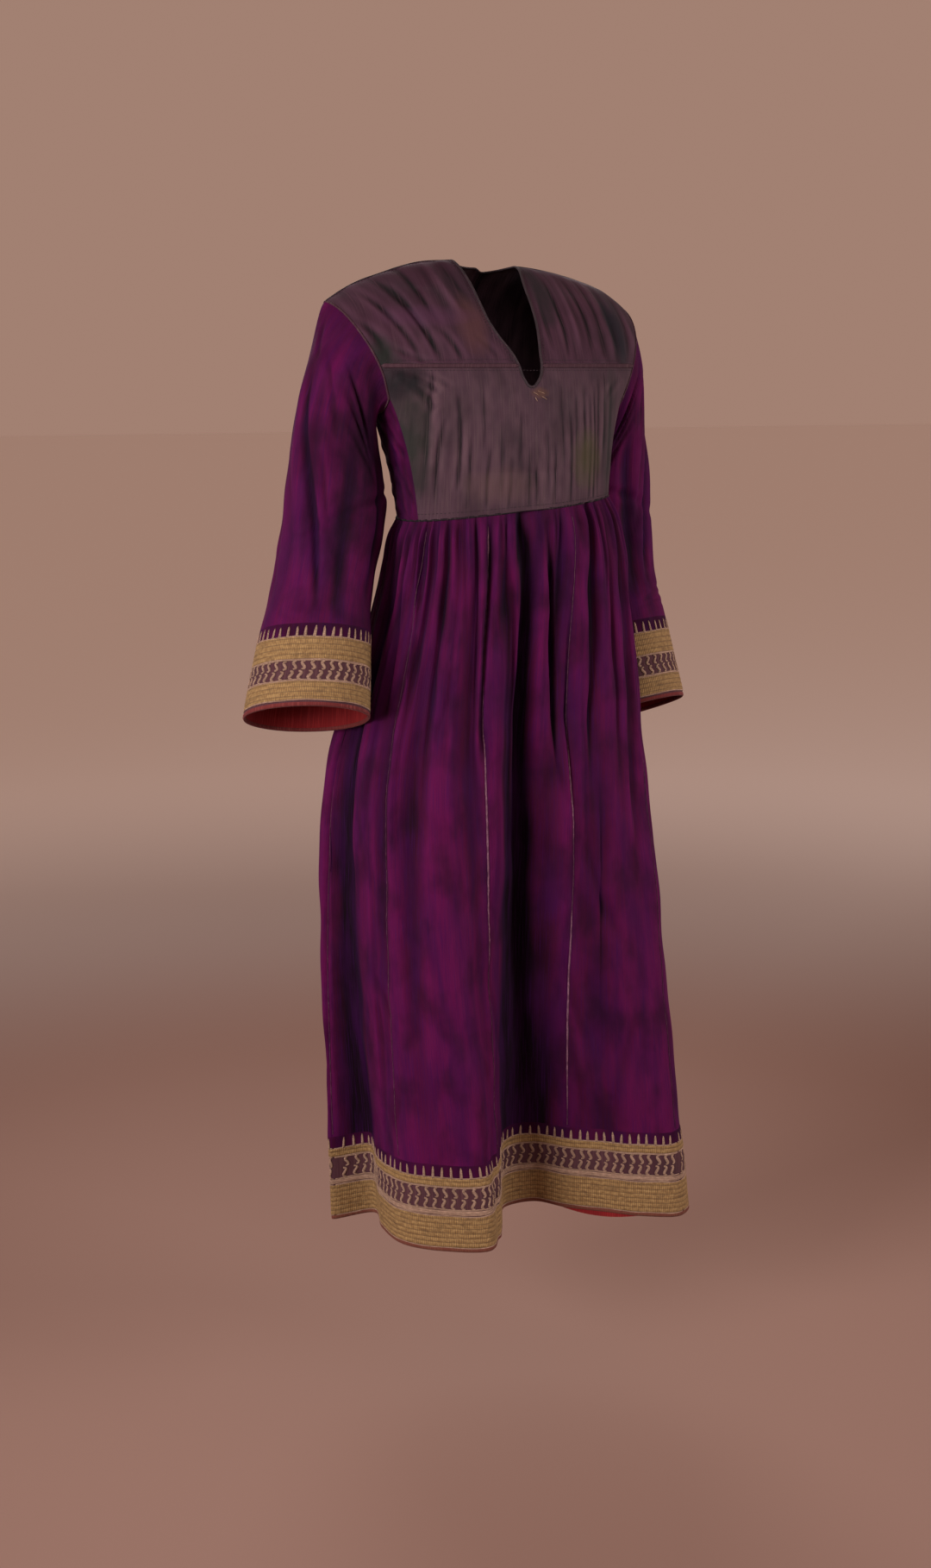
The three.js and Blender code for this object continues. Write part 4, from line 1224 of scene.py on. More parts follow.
@dataclass
class Bodice:
    """The satin top: two upper fronts, the lower front, the back and the two side strips."""

    wardrobe: Wardrobe
    yoke_cells: tuple[int, int] = (92, 76)
    front_cells: tuple[int, int] = (78, 96)
    gap_cells: int = 6
    back_cells: tuple[int, int, int] = (58, 22, 160)
    side_cells: tuple[int, int] = (26, 70)
    yoke_cut: tuple[float, float] = (0.170, 0.150)
    front_cut: tuple[float, float] = (0.330, 0.170)
    back_cut: tuple[float, float] = (0.390, 0.290)
    side_cut: tuple[float, float] = (0.075, 0.120)
    grids: dict[str, ClothGrid] = field(default_factory=dict)

    def yoke_grid(self, side: Side) -> ClothGrid:
        """The upper front on one side, from the shoulder line down to the yoke seam.

        Args:
            side: the side of the dress.

        Returns:
            The cloth.
        """
        columns, rows = self.yoke_cells
        across, rise = np.meshgrid(shares(columns), np.linspace(1, 0, rows + 1))

        def x_at(z: Array) -> Array:
            """x between the armhole's edge and the slit."""
            edges = side.sign * ARMHOLE.read("out", z), SLIT.read(side.name, z)
            return mix(*(edges if side.sign < 0 else edges[::-1]), across)

        x, z = climb_along(x_at, rise, Face.FRONT)
        flat = joined(x, z)
        grid = ClothGrid(bodice_point(x, z, Face.FRONT), flat)
        height = crease_heights(flat, YOKE_CREASES) + ripple(flat, 26, 0.5, 11)
        return grid.raised(height * grid.fade(7))

    def front_grid(self) -> tuple[ClothGrid, Array]:
        """The lower front and which of its cells are cloth, the end of the slit left out.

        Returns:
            The cloth, and for each cell whether it is kept.
        """
        half, rows = self.front_cells
        levels = np.linspace(YOKE_SEAM, WAIST_LEVEL, rows + 1)
        held = np.maximum(levels, SLIT_END)
        below = np.clip((SLIT_END - levels) / (SLIT_END - WAIST_LEVEL), 0, 1)
        right = mix(front_angle(SLIT.read("right", held), held), UNDER_SLIT[0], below)
        left = mix(front_angle(SLIT.read("left", held), held), UNDER_SLIT[1], below)
        share = shares(half)[None]
        gap = shares(self.gap_cells)[None, 1:-1]
        edge, right, left = side_angle(levels)[:, None], right[:, None], left[:, None]
        angle = np.hstack([mix(-edge, right, share), mix(right, left, gap), mix(left, edge, share)])
        down = shares(rows)[:, None]
        z = levels[:, None] + (waist_level(angle) - WAIST_LEVEL) * down**TILT_POWER
        x = torso_point(angle, z)[..., 0]
        points = joined(x, bodice_depth(x, z, Face.FRONT), z)
        flat = joined(x * 1.02, z)
        grid = ClothGrid(points, flat)
        height = crease_heights(flat, BODICE_CREASES + BODICE_PULLS) + ripple(flat, 18, 0.12, 12)
        grid = grid.raised(height * grid.fade(6))
        keep = np.ones((rows, angle.shape[1] - 1), bool)
        middle = (levels[:-1] + levels[1:]) / 2 > SLIT_END
        keep[middle, half : half + self.gap_cells] = False
        return grid, keep

    def back_grid(self) -> ClothGrid:
        """The back, from the shoulder line and the scooped neck down to the waist.

        Returns:
            The cloth.
        """
        side_columns, neck_columns, rows = self.back_cells
        outward = shares(side_columns)[::-1]
        tops = []
        for side in SIDES[::-1]:
            inner, outer = SLIT.read(side.name, BACK_NECK_LEVEL), side.sign * SHOULDER_TIP
            tops.append(mix(inner, outer, outward if side.sign > 0 else 1 - outward))
        neck = NECK_MIDDLE + NECK_HALF * np.linspace(1, -1, neck_columns + 1)[1:-1]
        x_top = np.concatenate([tops[0], neck, tops[1]])
        z_top = shoulder_height(x_top)
        edge = front_angle(ARMHOLE.read("out", z_top), z_top)
        columns = np.clip((edge - front_angle(x_top, z_top)) / (2 * edge), 0, 1)

        def x_at(z: Array) -> Array:
            """x at each column's share of the way from the left edge to the right one."""
            edge_there = np.where(z > ARMHOLE_TURN, front_angle(ARMHOLE.read("out", z), z), SIDE_SEAM)
            return torso_point(math.pi - edge_there + 2 * edge_there * across, z)[..., 0]

        upper_rows = rows * 2 // 5
        across, rise = np.meshgrid(columns, np.linspace(1, 0, upper_rows + 1))
        x, _ = climb_along(x_at, rise, Face.BACK)
        neck_share = np.maximum(1 - ((x - NECK_MIDDLE) / NECK_HALF) ** 2, 0)
        scooped = rise * (1 - BACK_NECK_SCOOP / (math.pi / 2) * np.sqrt(neck_share))
        x, z = climb_along(x_at, scooped, Face.BACK)
        upper = bodice_point(x, z, Face.BACK)
        across, level = np.meshgrid(columns, np.linspace(YOKE_SEAM, WAIST_LEVEL, rows - upper_rows + 1)[1:])
        angle = math.pi - side_angle(level) + 2 * side_angle(level) * across
        down = (YOKE_SEAM - level) / (YOKE_SEAM - WAIST_LEVEL)
        z_low = level + (waist_level(angle) - WAIST_LEVEL) * down**TILT_POWER
        lower = bodice_point(torso_point(angle, z_low)[..., 0], z_low, Face.BACK)
        points = np.vstack([upper, lower])
        flat = joined(-points[..., 0], points[..., 2])
        grid = ClothGrid(points, flat)
        worn = mirrored(BODICE_CREASES[::2]) + BODICE_PULLS[2:4] + mirrored(YOKE_CREASES[::3])
        height = crease_heights(flat, worn) + ripple(flat, 24, 0.5, 13)
        return grid.raised(height * grid.fade(7))

    def side_grid(self, side: Side) -> ClothGrid:
        """The strip under one arm.

        Args:
            side: the side of the dress.

        Returns:
            The cloth.
        """
        columns, rows = self.side_cells
        start = SIDE_SEAM if side.sign > 0 else SIDE_SEAM - math.pi
        angles = np.linspace(start, start + math.pi - 2 * SIDE_SEAM, columns + 1)
        angle, share = np.meshgrid(angles, shares(rows))
        z = mix(underarm_level(angle), waist_level(angle), share)
        points = torso_point(angle, z)
        flat = joined(angle * STRIP_RADIUS, z)
        grid = ClothGrid(points, flat)
        return grid.raised(ripple(flat, 14, 1.0, 14 + side.sign) * grid.fade(7))

    def build(self) -> None:
        """Builds the five kinds of panel and the sewing between them."""
        for side in SIDES:
            grid = self.grids["yoke_" + side.name] = self.yoke_grid(side)
            piece = cloth_piece(f"yoke_{side.name}_cloth", grid, grid.relief(5, 1.3))
            self.wardrobe.dress(piece, YOKE_SATIN, "yoke_satin", "front_yoke_" + side.name)
            strip = self.side_grid(side)
            piece = cloth_piece(f"side_strip_{side.name}_cloth", strip, strip.relief(4, 2.5))
            self.wardrobe.dress(piece, SHOT_SILK, "shot_silk", "side_panel_" + side.name)
        grid, keep = self.front_grid()
        self.grids["front"] = grid
        piece = cloth_piece("bodice_front_cloth", grid, grid.relief(4, 0.8), keep)
        self.wardrobe.dress(piece, BODICE_SATIN, "bodice_satin", "front_panel")
        grid = self.grids["back"] = self.back_grid()
        piece = cloth_piece("bodice_back_cloth", grid, grid.relief(5, 1.3))
        self.wardrobe.dress(piece, BODICE_SATIN, "bodice_satin", "back_panel")
        self.sew()

    def neck_line(self) -> Arrays:
        """The closed line round the slit and the neck, and the way out of the cloth along it.

        Returns:
            Points and ways out.
        """
        half = self.front_cells[0]
        front = self.grids["front"]
        slit_rows = int(np.argmin(np.abs(front.flat[:, half, 1] - SLIT_END)))
        right, left, back = self.grids["yoke_right"], self.grids["yoke_left"], self.grids["back"]
        first, last = self.back_cells[0], self.back_cells[0] + self.back_cells[1]
        pieces = [
            (right, (slice(None), -1), False),
            (front, (slice(1, slit_rows + 1), half), False),
            (front, (slice(1, slit_rows + 1), half + self.gap_cells), True),
            (left, (slice(None), 0), True),
            (back, (0, slice(first + 1, last)), False),
        ]
        points, normals = [], []
        for grid, where, turned in pieces:
            line, outs = grid.points[where], grid.normals()[where]
            points.append(line[::-1] if turned else line)
            normals.append(outs[::-1] if turned else outs)
        return np.concatenate(points), np.concatenate(normals)

    def sew(self) -> None:
        """Adds the neck's binding, the seam tape, the shoulder seams and their stitches."""
        points, normals = even_line(*self.neck_line(), 2.0, closed=True)
        points, normals = smooth_line(points, 2, closed=True), unit(smooth_line(normals, 4, closed=True))
        piece = rope("neck_binding", points, normals, NECK_BINDING, closed=True)
        self.wardrobe.dress(piece, DARK_THREAD, "yoke_satin")
        threads = []
        for side in SIDES:
            grid = self.grids["yoke_" + side.name]
            outs = grid.normals()
            piece = rope(f"yoke_tape_{side.name}", grid.points[-1], outs[-3], YOKE_TAPE)
            self.wardrobe.dress(piece, PIPING, "yoke_satin")
            piece = rope(f"shoulder_seam_{side.name}", grid.points[0], outs[2], SHOULDER_SEAM)
            self.wardrobe.dress(piece, YOKE_SATIN, "yoke_satin")
            for row in (-4, 3):
                threads.append(stitches(grid.points[row], outs[row], SEAM_STITCH))
            edge = -4 if side.sign < 0 else 3
            threads.append(stitches(grid.points[:, edge], outs[:, edge], SLIT_STITCH))
        front, outs = self.grids["front"].points, self.grids["front"].normals()
        threads.append(stitches(front[3], outs[3], SEAM_STITCH))
        threads.append(stitches(front[-4], outs[-4], WAIST_STITCH))
        self.wardrobe.dress(bars_piece("bodice_stitches", threads), DARK_THREAD, "yoke_satin")
        piece = bars_piece("slit_end_stitches", [self.slit_end()])
        self.wardrobe.dress(piece, PALE_THREAD, "gold_embroidery")

    def slit_end(self) -> Arrays:
        """A few loose stitches that hold the end of the slit.

        Returns:
            Their vertices and faces.
        """
        share = np.linspace(0, 1, STITCH_STEPS)
        lines = np.array([[mix(x0, x1, share), mix(z0, z1, share)] for x0, z0, x1, z1 in SLIT_END_STITCHES])
        x, z = lines[:, 0], lines[:, 1]
        points = joined(x, bodice_depth(x, z, Face.FRONT) - 0.8, z)
        outs = np.broadcast_to(np.array([0.0, -1.0, 0.0]), points.shape)
        shape = STITCH_SHAPE * SLIT_END_HALF_WIDTH
        return bars(points, outs, shape, shape)


# -------- embroidery


@dataclass(frozen=True)
class Layer:
    """One level of an embroidered band: from and to, as heights over its lower edge."""

    low: float
    high: float


@dataclass(frozen=True)
class BandDesign:
    """A band's levels, bottom to top, and the pitch of its repeats."""

    gold: tuple[Layer, ...]
    pale_line: Optional[Layer]
    motifs: Layer
    tiers: int
    teeth: Layer
    pitch: float = 11.6
    cord_pitch: float = 6.4


HEM_DESIGN = BandDesign(
    gold=(Layer(4, 47), Layer(87, 99)), pale_line=Layer(48, 55), motifs=Layer(56, 86), tiers=2,
    teeth=Layer(99, 114),
)
CUFF_DESIGN = BandDesign(
    gold=(Layer(7, 33), Layer(62, 91)), pale_line=None, motifs=Layer(34, 61), tiers=2,
    teeth=Layer(91, 107), pitch=11.0,
)
TOOTH_SHAPE = np.array([1.0, 0.95, 0.85, 0.75, 0.3])
MOTIF_STEPS = 11
STROKE_HALF_WIDTH, STROKE_RISE = 1.9, 0.9
RULE_HALF_WIDTH, RULE_RISE = 0.9, 0.75

# Laid thread: the distance between its columns, the rows of one cord, how far and in what waves the
# cords sway, and how deep a strip's edges sink.
STRIP_STEP = 3.4
CORD_ROWS = 6
SWAY = 0.55
SWAY_WAVES = (37.0, 61.0, 23.0)
EDGE_SINKS = 0.3


@dataclass
class Embroidery:
    """The raised thread of one band, laid on its cloth."""

    grid: ClothGrid
    design: BandDesign
    seed: int

    def span(self) -> tuple[float, float]:
        """The band's two ends, as places on the cloth."""
        ends = self.grid.flat[-1, 0, 0], self.grid.flat[-1, -1, 0]
        return min(ends), max(ends)

    def strip(self, layer: Layer, cords: float, lift: float) -> tuple[Array, Array, Array]:
        """Laid cords that fill a level.

        Args:
            layer: the level.
            cords: the distance from one cord to the next.
            lift: how far the strip stands off the cloth.

        Returns:
            Vertices, faces and the cloth places of the faces' corners.
        """
        low, high = self.span()
        columns = int((high - low) / STRIP_STEP)
        count = max(round((layer.high - layer.low) / cords), 1)
        rows = count * CORD_ROWS
        across, down = np.meshgrid(np.linspace(low, high, columns + 1), shares(rows))
        random = np.random.default_rng(self.seed)
        sway = sum(np.sin(TAU * (across / wave + random.uniform())) * SWAY for wave in SWAY_WAVES)
        above = mix(layer.high, layer.low, down) + sway * np.sin(math.pi * down)
        points, outs = self.grid.sample(across, above)
        height = lift * (0.55 + 0.45 * np.abs(np.sin(math.pi * count * down)) ** 0.5)
        height[0] = height[-1] = -EDGE_SINKS
        cells = cells_of(*points.shape[:2])
        if self.grid.flat[-1, 0, 0] > self.grid.flat[-1, -1, 0]:
            cells = cells[..., ::-1]
        faces = cells.reshape(-1, 4)
        flat = joined(across, above).reshape(-1, 2)
        vertices = (points + outs * height[..., None]).reshape(-1, 3)
        return vertices, faces, flat[faces.ravel()]

    def strips(self, name: str, layers: Iterable[Layer], lift: float) -> Piece:
        """One mesh object of the strips over several levels.

        Args:
            name: the piece's name.
            layers: the levels.
            lift: how far the strips stand off the cloth.

        Returns:
            The new object.
        """
        vertices, faces, places = [], [], []
        start = 0
        for layer in layers:
            points, cells, flat = self.strip(layer, self.design.cord_pitch, lift)
            vertices.append(points)
            faces.append(cells + start)
            places.append(flat)
            start += len(points)
        return mesh_piece(name, np.concatenate(vertices), np.concatenate(faces), np.concatenate(places))

    def starts(self) -> Array:
        """Where each repeat stands, slightly uneven as hand work is.

        Returns:
            Places on the cloth.
        """
        low, high = self.span()
        pitch = self.design.pitch
        first = math.ceil((low + pitch / 2) / pitch) * pitch
        places = np.arange(first, high - pitch / 2, pitch)
        random = np.random.default_rng(self.seed + 1)
        return places + random.uniform(-0.7, 0.7, len(places))

    def laid(self, across: Array, above: Array, half_width: Array, rise: Array) -> Arrays:
        """Bars along lines on the cloth.

        Args:
            across: (bars, steps) places along the band.
            above: (bars, steps) heights over its edge.
            half_width: for each step.
            rise: for each step.

        Returns:
            Vertices and faces.
        """
        points, outs = self.grid.sample(across, above)
        return bars(points + outs * THREAD_STANDS, outs, half_width, rise)

    def teeth(self) -> Arrays:
        """The comb of short upright stitches along the band's upper edge.

        Returns:
            Vertices and faces.
        """
        places = self.starts()
        random = np.random.default_rng(self.seed + 2)
        tops = self.design.teeth.high - random.uniform(0, 2.6, len(places))
        t = np.linspace(0, 1, len(TOOTH_SHAPE))[None]
        above = mix(np.full((len(places), 1), self.design.teeth.low - 1.0), tops[:, None], t)
        lean = random.uniform(-1.2, 1.2, len(places))[:, None]
        across = places[:, None] + lean * t
        return self.laid(across, above, STROKE_HALF_WIDTH * TOOTH_SHAPE, STROKE_RISE * TOOTH_SHAPE)

    def motif_bars(self) -> list[Arrays]:
        """The curled strokes of the dark row, in tiers that lean against each other.

        Returns:
            Vertices and faces of each tier.
        """
        tiers = self.design.tiers
        tall = (self.design.motifs.high - self.design.motifs.low) / tiers
        t = np.linspace(0, 1, MOTIF_STEPS)[None]
        sets = []
        for tier in range(tiers):
            lean = 1 if tier % 2 else -1
            places = self.starts()[:, None] + (self.design.pitch / 4) * tier
            middle = self.design.motifs.low + tall * (tier + 0.5)
            across = places + lean * (3.2 * (t - 0.5) - 2.6 * np.sin((t - 0.5) * TAU))
            above = middle + (tall / 2 - 1.3) * np.sin((t - 0.5) * math.pi) + 0 * places
            shape = np.sin(math.pi * np.clip(t[0], 0.08, 0.92)) ** 0.35
            sets.append(self.laid(across, above, STROKE_HALF_WIDTH * shape, STROKE_RISE * shape))
        return sets

    def rules(self) -> list[Arrays]:
        """The thin cords that part the levels.

        Returns:
            Vertices and faces of each cord.
        """
        low, high = self.span()
        across = np.arange(low + 1, high - 1, 3.0)[None]
        levels = {self.design.motifs.low, self.design.motifs.high, self.design.teeth.low}
        for layer in self.design.gold:
            levels |= {layer.low, layer.high}
        widths = np.full(across.shape[1], RULE_HALF_WIDTH)
        rises = np.full(across.shape[1], RULE_RISE)
        sets = []
        for level in sorted(levels):
            above = level + 0.35 * np.sin(across / 9.0 + level) + 0 * across
            sets.append(self.laid(across, above, widths, rises))
        return sets

    def dress(self, wardrobe: Wardrobe, name: str) -> None:
        """Builds the band's thread and gives it its finishes.

        Args:
            wardrobe: the finishes.
            name: the start of the pieces' names.
        """
        gold = self.strips(name + "_gold", self.design.gold, 0.9)
        wardrobe.dress(gold, GOLD_BAND, "gold_embroidery")
        if self.design.pale_line:
            pale = self.strips(name + "_pale_line", [self.design.pale_line], 1.1)
            wardrobe.dress(pale, PALE_THREAD, "gold_embroidery")
        sets = [self.teeth(), *self.motif_bars(), *self.rules()]
        wardrobe.dress(bars_piece(name + "_stitches", sets), PALE_THREAD, "gold_embroidery")


# -------- the sleeves

SLEEVE = Table("step outer outer_z inner inner_z y half lift", [
    (1, 222, -118, 149, -205, 22, 63, 0), (2, 233, -165, 141, -226, 29, 62, 1),
    (3, 242, -215, 133, -254, 34, 62, 2), (4, 248, -262, 129, -285, 36, 62, 4),
    (5, 254, -310, 131, -322, 37, 62, 7), (6, 262, -360, 141, -371, 38, 63, 11),
    (7, 271, -406, 149, -420, 38, 63, 15), (8, 282, -444, 150, -460, 38, 66, 18),
    (9, 294, -500, 152, -518, 38, 70, 22), (10, 305, -554, 153, -574, 38, 73, 26),
])
ARM_LENGTH = 500.0
CUFF_HEIGHT = 110.0
ROUND = 360.0

# Places round a sleeve are 0 on its outer line, 90 at the front, 180 under the arm, 270 behind.
SLEEVE_CREASES = creases(
    (44, 66, 97, 322, 5.5, 4.6, -4), (28, 60, 74, 300, 13, -3, -4), (112, 110, 122, 340, 13, 5, 5),
    (78, 120, 104, 250, 5, 2.4, 3), (84, 34, 136, 112, 4.5, 3, -7), (92, 62, 140, 134, 4, 2.6, -6),
    (88, 46, 138, 124, 4, -2.2, -6), (98, 92, 146, 158, 4.5, 2.4, -6), (60, 40, 92, 118, 5, 2, -5),
    (14, 96, 26, 300, 7, 1.6, 4), (352, 60, 4, 250, 8, 1.8, -4), (338, 120, 348, 320, 8, 2.2, 5),
    (52, 338, 116, 350, 5, 1.5, -7), (50, 318, 96, 330, 5.5, 1.2, 6), (56, 352, 130, 360, 4, 1.4, -6),
    (286, 340, 336, 334, 5.5, 1.2, -5), (150, 110, 160, 300, 8, 3.4, -5), (196, 80, 210, 280, 9, 3.2, 6),
    (266, 50, 232, 210, 6.5, 3.4, 8), (250, 70, 222, 150, 5, 2.4, 6), (306, 70, 288, 300, 6.5, 3.2, -8),
    (256, 210, 246, 350, 8, 2.4, 5), (204, 330, 276, 342, 5.5, 1.9, 8), (20, 16, 50, 50, 6, 1.4, 3),
    (330, 14, 304, 58, 6, 1.4, -3),
)


@dataclass
class Sleeve:
    """One set-in sleeve with its embroidered cuff, the cuff's facing and the piping at the armhole.

    cap_reach is how strongly the cap leaves the armhole at its sides, at the top and under the
    arm. cuff_quiet is the share of the creases that is left on the stiff cuff.
    """

    wardrobe: Wardrobe
    side: Side
    columns: int = 150
    cap_rows: int = 30
    arm_rows: int = 130
    cuff_rows: int = 44
    facing_height: float = 52.0
    silk_margin: float = 19.0
    cap_reach: tuple[float, float, float] = (38.0, 26.0, 24.0)
    arm_reach: float = 45
    crease_gain: float = 1.3
    cuff_quiet: float = 0.25
    quiet_rows: int = 12
    cuff_round: float = 440
    sleeve_cut: tuple[float, float] = (0.38, 0.35)
    cuff_cut: tuple[float, float] = (0.43, 0.115)
    facing_cut: tuple[float, float] = (0.43, 0.05)

    def section(self, step: Array) -> tuple[Array, Array, Array]:
        """A section's middle and its arms towards the outer line and the front.

        Args:
            step: the place down the arm, as a row of the sleeve's table.

        Returns:
            The middle and the two arms.
        """
        side = self.side
        row = {name: SLEEVE.read(name, step) for name in SLEEVE.names}
        height = (row["outer_z"] + row["inner_z"]) / 2
        hang = np.clip(-height / ARM_LENGTH, 0, 1.1)
        shift = side.out * hang + side.flare * hang**4
        zero = np.zeros_like(height)
        middle = joined(
            side.sign * ((row["outer"] + row["inner"]) / 2 + shift),
            row["y"] - side.forward * hang,
            height + side.raised * hang**2,
        )
        reach = joined(
            side.sign * (row["outer"] - row["inner"]) / 2, zero, (row["outer_z"] - row["inner_z"]) / 2,
        )
        front = joined(zero, -row["half"], row["lift"])
        return middle, reach, front

    def ring_point(self, angle: Array, step: Array) -> Array:
        """The sleeve's surface below its cap."""
        middle, reach, front = self.section(step)
        return middle + reach * np.cos(angle)[..., None] + front * np.sin(angle)[..., None]

    def bodice_out(self, x: Array, z: Array, face: Face) -> Array:
        """The way out of the bodice's cloth at the armhole's edge.

        Args:
            x: places across.
            z: heights.
            face: which face of the bodice.

        Returns:
            The ways out.
        """
        inside = np.sign(x) * (np.abs(x) - 1.5)
        right = bodice_point(inside + 0.2, z, face) - bodice_point(inside - 0.2, z, face)
        up = bodice_point(inside, z + 0.2, face) - bodice_point(inside, z - 0.2, face)
        out = unit(face * np.cross(up, right))
        slope = shoulder_height(x + 1) - shoulder_height(x - 1)
        top = unit(joined(-slope, 0 * slope, 0 * slope + 2))
        return np.where((z > shoulder_height(x) - 0.01)[..., None], top, out)

    def armhole(self) -> Arrays:
        """The armhole's edge from the shoulder tip down the front, under the arm and up the back.

        Returns:
            Points an even step apart, and the way out of the bodice's cloth at each.
        """
        sign = self.side.sign
        points, outs = [], []

        def add(face: Face, x: Array, z: Array) -> None:
            """Adds a stretch of the edge on one face of the bodice."""
            points.append(bodice_point(x, z, face))
            outs.append(self.bodice_out(x, z, face))

        def edge(z: Array) -> Array:
            """x of the armhole's edge."""
            return sign * ARMHOLE.read("out", z)

        rises = np.linspace(0, 1, 60)
        add(Face.FRONT, *climb_along(edge, rises[::-1], Face.FRONT))
        turn = np.linspace(YOKE_SEAM, ARMHOLE_TURN, 16)
        add(Face.FRONT, edge(turn[1:]), turn[1:])
        angle = sign * np.linspace(SIDE_SEAM, math.pi - SIDE_SEAM, 26)[1:-1]
        z = underarm_level(angle)
        points.append(torso_point(angle, z))
        right = torso_point(angle + 0.01, z) - torso_point(angle - 0.01, z)
        down = torso_point(angle, z - 1) - torso_point(angle, z + 1)
        outs.append(unit(np.cross(down, right)))
        add(Face.BACK, edge(turn[::-1][:-1]), turn[::-1][:-1])
        add(Face.BACK, *climb_along(edge, rises[:-1], Face.BACK))
        line, ways = even_line(np.concatenate(points), np.concatenate(outs), 1.0, closed=True)
        picks = np.linspace(0, len(line), self.columns, endpoint=False).astype(int)
        return line[picks], ways[picks]

    def grid(self) -> ClothGrid:
        """The sleeve and its cuff, from the armhole down.

        Returns:
            The cloth.
        """
        loop, outs = self.armhole()
        _, reach, front = self.section(np.array(1.0))
        arm = loop - loop.mean(axis=0)
        angles = np.unwrap(np.arctan2(arm @ front / (front @ front), arm @ reach / (reach @ reach)))
        under = self.section(np.array(1.0))[0]
        along = np.roll(loop, -1, axis=0) - np.roll(loop, 1, axis=0)
        away = unit(np.cross(along, outs))
        away *= np.where(((under - loop) * away).sum(-1) < 0, -1, 1)[:, None]
        below = np.maximum(-np.cos(angles), 0) ** 2
        above = np.maximum(np.cos(angles), 0) ** 2
        beside, top, under_arm = self.cap_reach
        strength = mix(mix(beside, top, above), under_arm, below)[:, None]
        start = loop + away * SEAM
        leave = unit(mix(away, outs, below[:, None])) * strength
        end = self.ring_point(angles, np.ones_like(angles))
        arrive = unit(self.ring_point(angles, np.full_like(angles, 1.5)) - end) * self.arm_reach
        down_cap = np.linspace(0, 1, self.cap_rows, endpoint=False)[:, None, None]
        cap = hermite(start, end, leave, arrive, down_cap)
        arm_steps = np.linspace(1, 8, self.arm_rows, endpoint=False)
        steps = np.concatenate([arm_steps, np.linspace(8, 10, self.cuff_rows + 1)])[:, None]
        even = angles[0] + np.arange(self.columns) * TAU / self.columns
        turned = mix(angles, even, eased((steps - 1) / 5))
        points = np.concatenate([cap, self.ring_point(turned, np.broadcast_to(steps, turned.shape))])
        points = np.concatenate([points, points[:, :1]], axis=1)
        rows = np.linalg.norm(np.diff(points, axis=0), axis=-1).mean(axis=1)
        down = np.concatenate([[0], np.cumsum(rows)])
        around = np.linspace(0, ROUND, self.columns + 1)
        flat = joined(*np.meshgrid(around, down))
        if self.side.sign > 0:
            points, flat = points[:, ::-1], flat[:, ::-1]
        grid = ClothGrid(points, flat, closed=True)
        height = self.crease_gain * crease_heights(flat, SLEEVE_CREASES, ROUND)
        height = height + ripple(flat, 40, 0.7, 21 + self.side.sign, ROUND)
        cuff_top = self.cap_rows + self.arm_rows
        quiet = np.ones(len(down))
        quiet[cuff_top:] = self.cuff_quiet
        quiet[cuff_top - self.quiet_rows : cuff_top] = np.linspace(1, self.cuff_quiet, self.quiet_rows)
        return grid.raised(height * grid.fade(9, all_round=False) * quiet[:, None])

    def cuff_grid(self, whole: ClothGrid, cuff_top: int) -> ClothGrid:
        """The cuff's part of the sleeve, with heights over its edge as its cloth places.

        Args:
            whole: the whole sleeve.
            cuff_top: the cuff's first row.

        Returns:
            The cuff's cloth.
        """
        cuff = ClothGrid(whole.points[cuff_top:].copy(), whole.flat[cuff_top:].copy(), closed=True)
        cuff.flat[..., 0] *= self.cuff_round / ROUND
        cuff.flat[..., 1] = np.linspace(CUFF_HEIGHT, 0, len(cuff.points))[:, None]
        return cuff

    def build(self) -> None:
        """Builds the sleeve, its cuff and its trimmings."""
        whole = self.grid()
        cuff_top = self.cap_rows + self.arm_rows
        name = self.side.name
        arm = ClothGrid(whole.points[: cuff_top + 1], whole.flat[: cuff_top + 1], closed=True)
        piece = cloth_piece(f"sleeve_{name}_cloth", arm, arm.relief(8, 2.4))
        # The right sleeve takes the silk with painted shade and highlight, the left one the plain silk.
        finish = PAINTED_SHADE_SLEEVE_SILK if self.side.sign < 0 else SHOT_SILK
        self.wardrobe.dress(piece, finish, "shot_silk", "sleeve_" + name)
        cuff = self.cuff_grid(whole, cuff_top)
        piece = cloth_piece(f"cuff_{name}_cloth", cuff)
        self.wardrobe.dress(piece, PLUM_GROUND, "gold_embroidery", "cuff_" + name)
        silk_rows = round(self.cuff_rows * self.silk_margin / CUFF_HEIGHT)
        self.wardrobe.top_of_band(piece, self.columns * silk_rows)
        Embroidery(cuff, CUFF_DESIGN, 31 + self.side.sign).dress(self.wardrobe, "cuff_" + name)
        self.face(cuff)
        outs = whole.normals()
        line, ways = whole.points[1, :-1], outs[1, :-1]
        piece = rope(f"armhole_piping_{name}", line, ways, ARMHOLE_PIPING, closed=True)
        self.wardrobe.dress(piece, PIPING, "yoke_satin")

    def face(self, cuff: ClothGrid) -> None:
        """Adds the red facing inside the cuff and the bound edge.

        Args:
            cuff: the cuff's cloth.
        """
        name = self.side.name
        rows = int(self.cuff_rows * self.facing_height / CUFF_HEIGHT)
        outs = cuff.normals()
        points = cuff.points[-rows:] - outs[-rows:] * (CLOTH + SEAM)
        inner = ClothGrid(points, cuff.flat[-rows:], closed=True)
        piece = cloth_piece(f"cuff_facing_{name}_cloth", inner)
        self.wardrobe.dress(piece, RED_FACING, "red_facing", "cuff_facing_" + name)
        up = unit(cuff.points[-2] - cuff.points[-1])
        middle = cuff.points[-1] - outs[-1] * BINDING_INSET + up * CUFF_BINDING.rise
        piece = rope(f"cuff_binding_{name}", middle[:-1], outs[-1, :-1], CUFF_BINDING, closed=True)
        self.wardrobe.dress(piece, ROSE_BINDING, "gold_embroidery")


# -------- the skirt

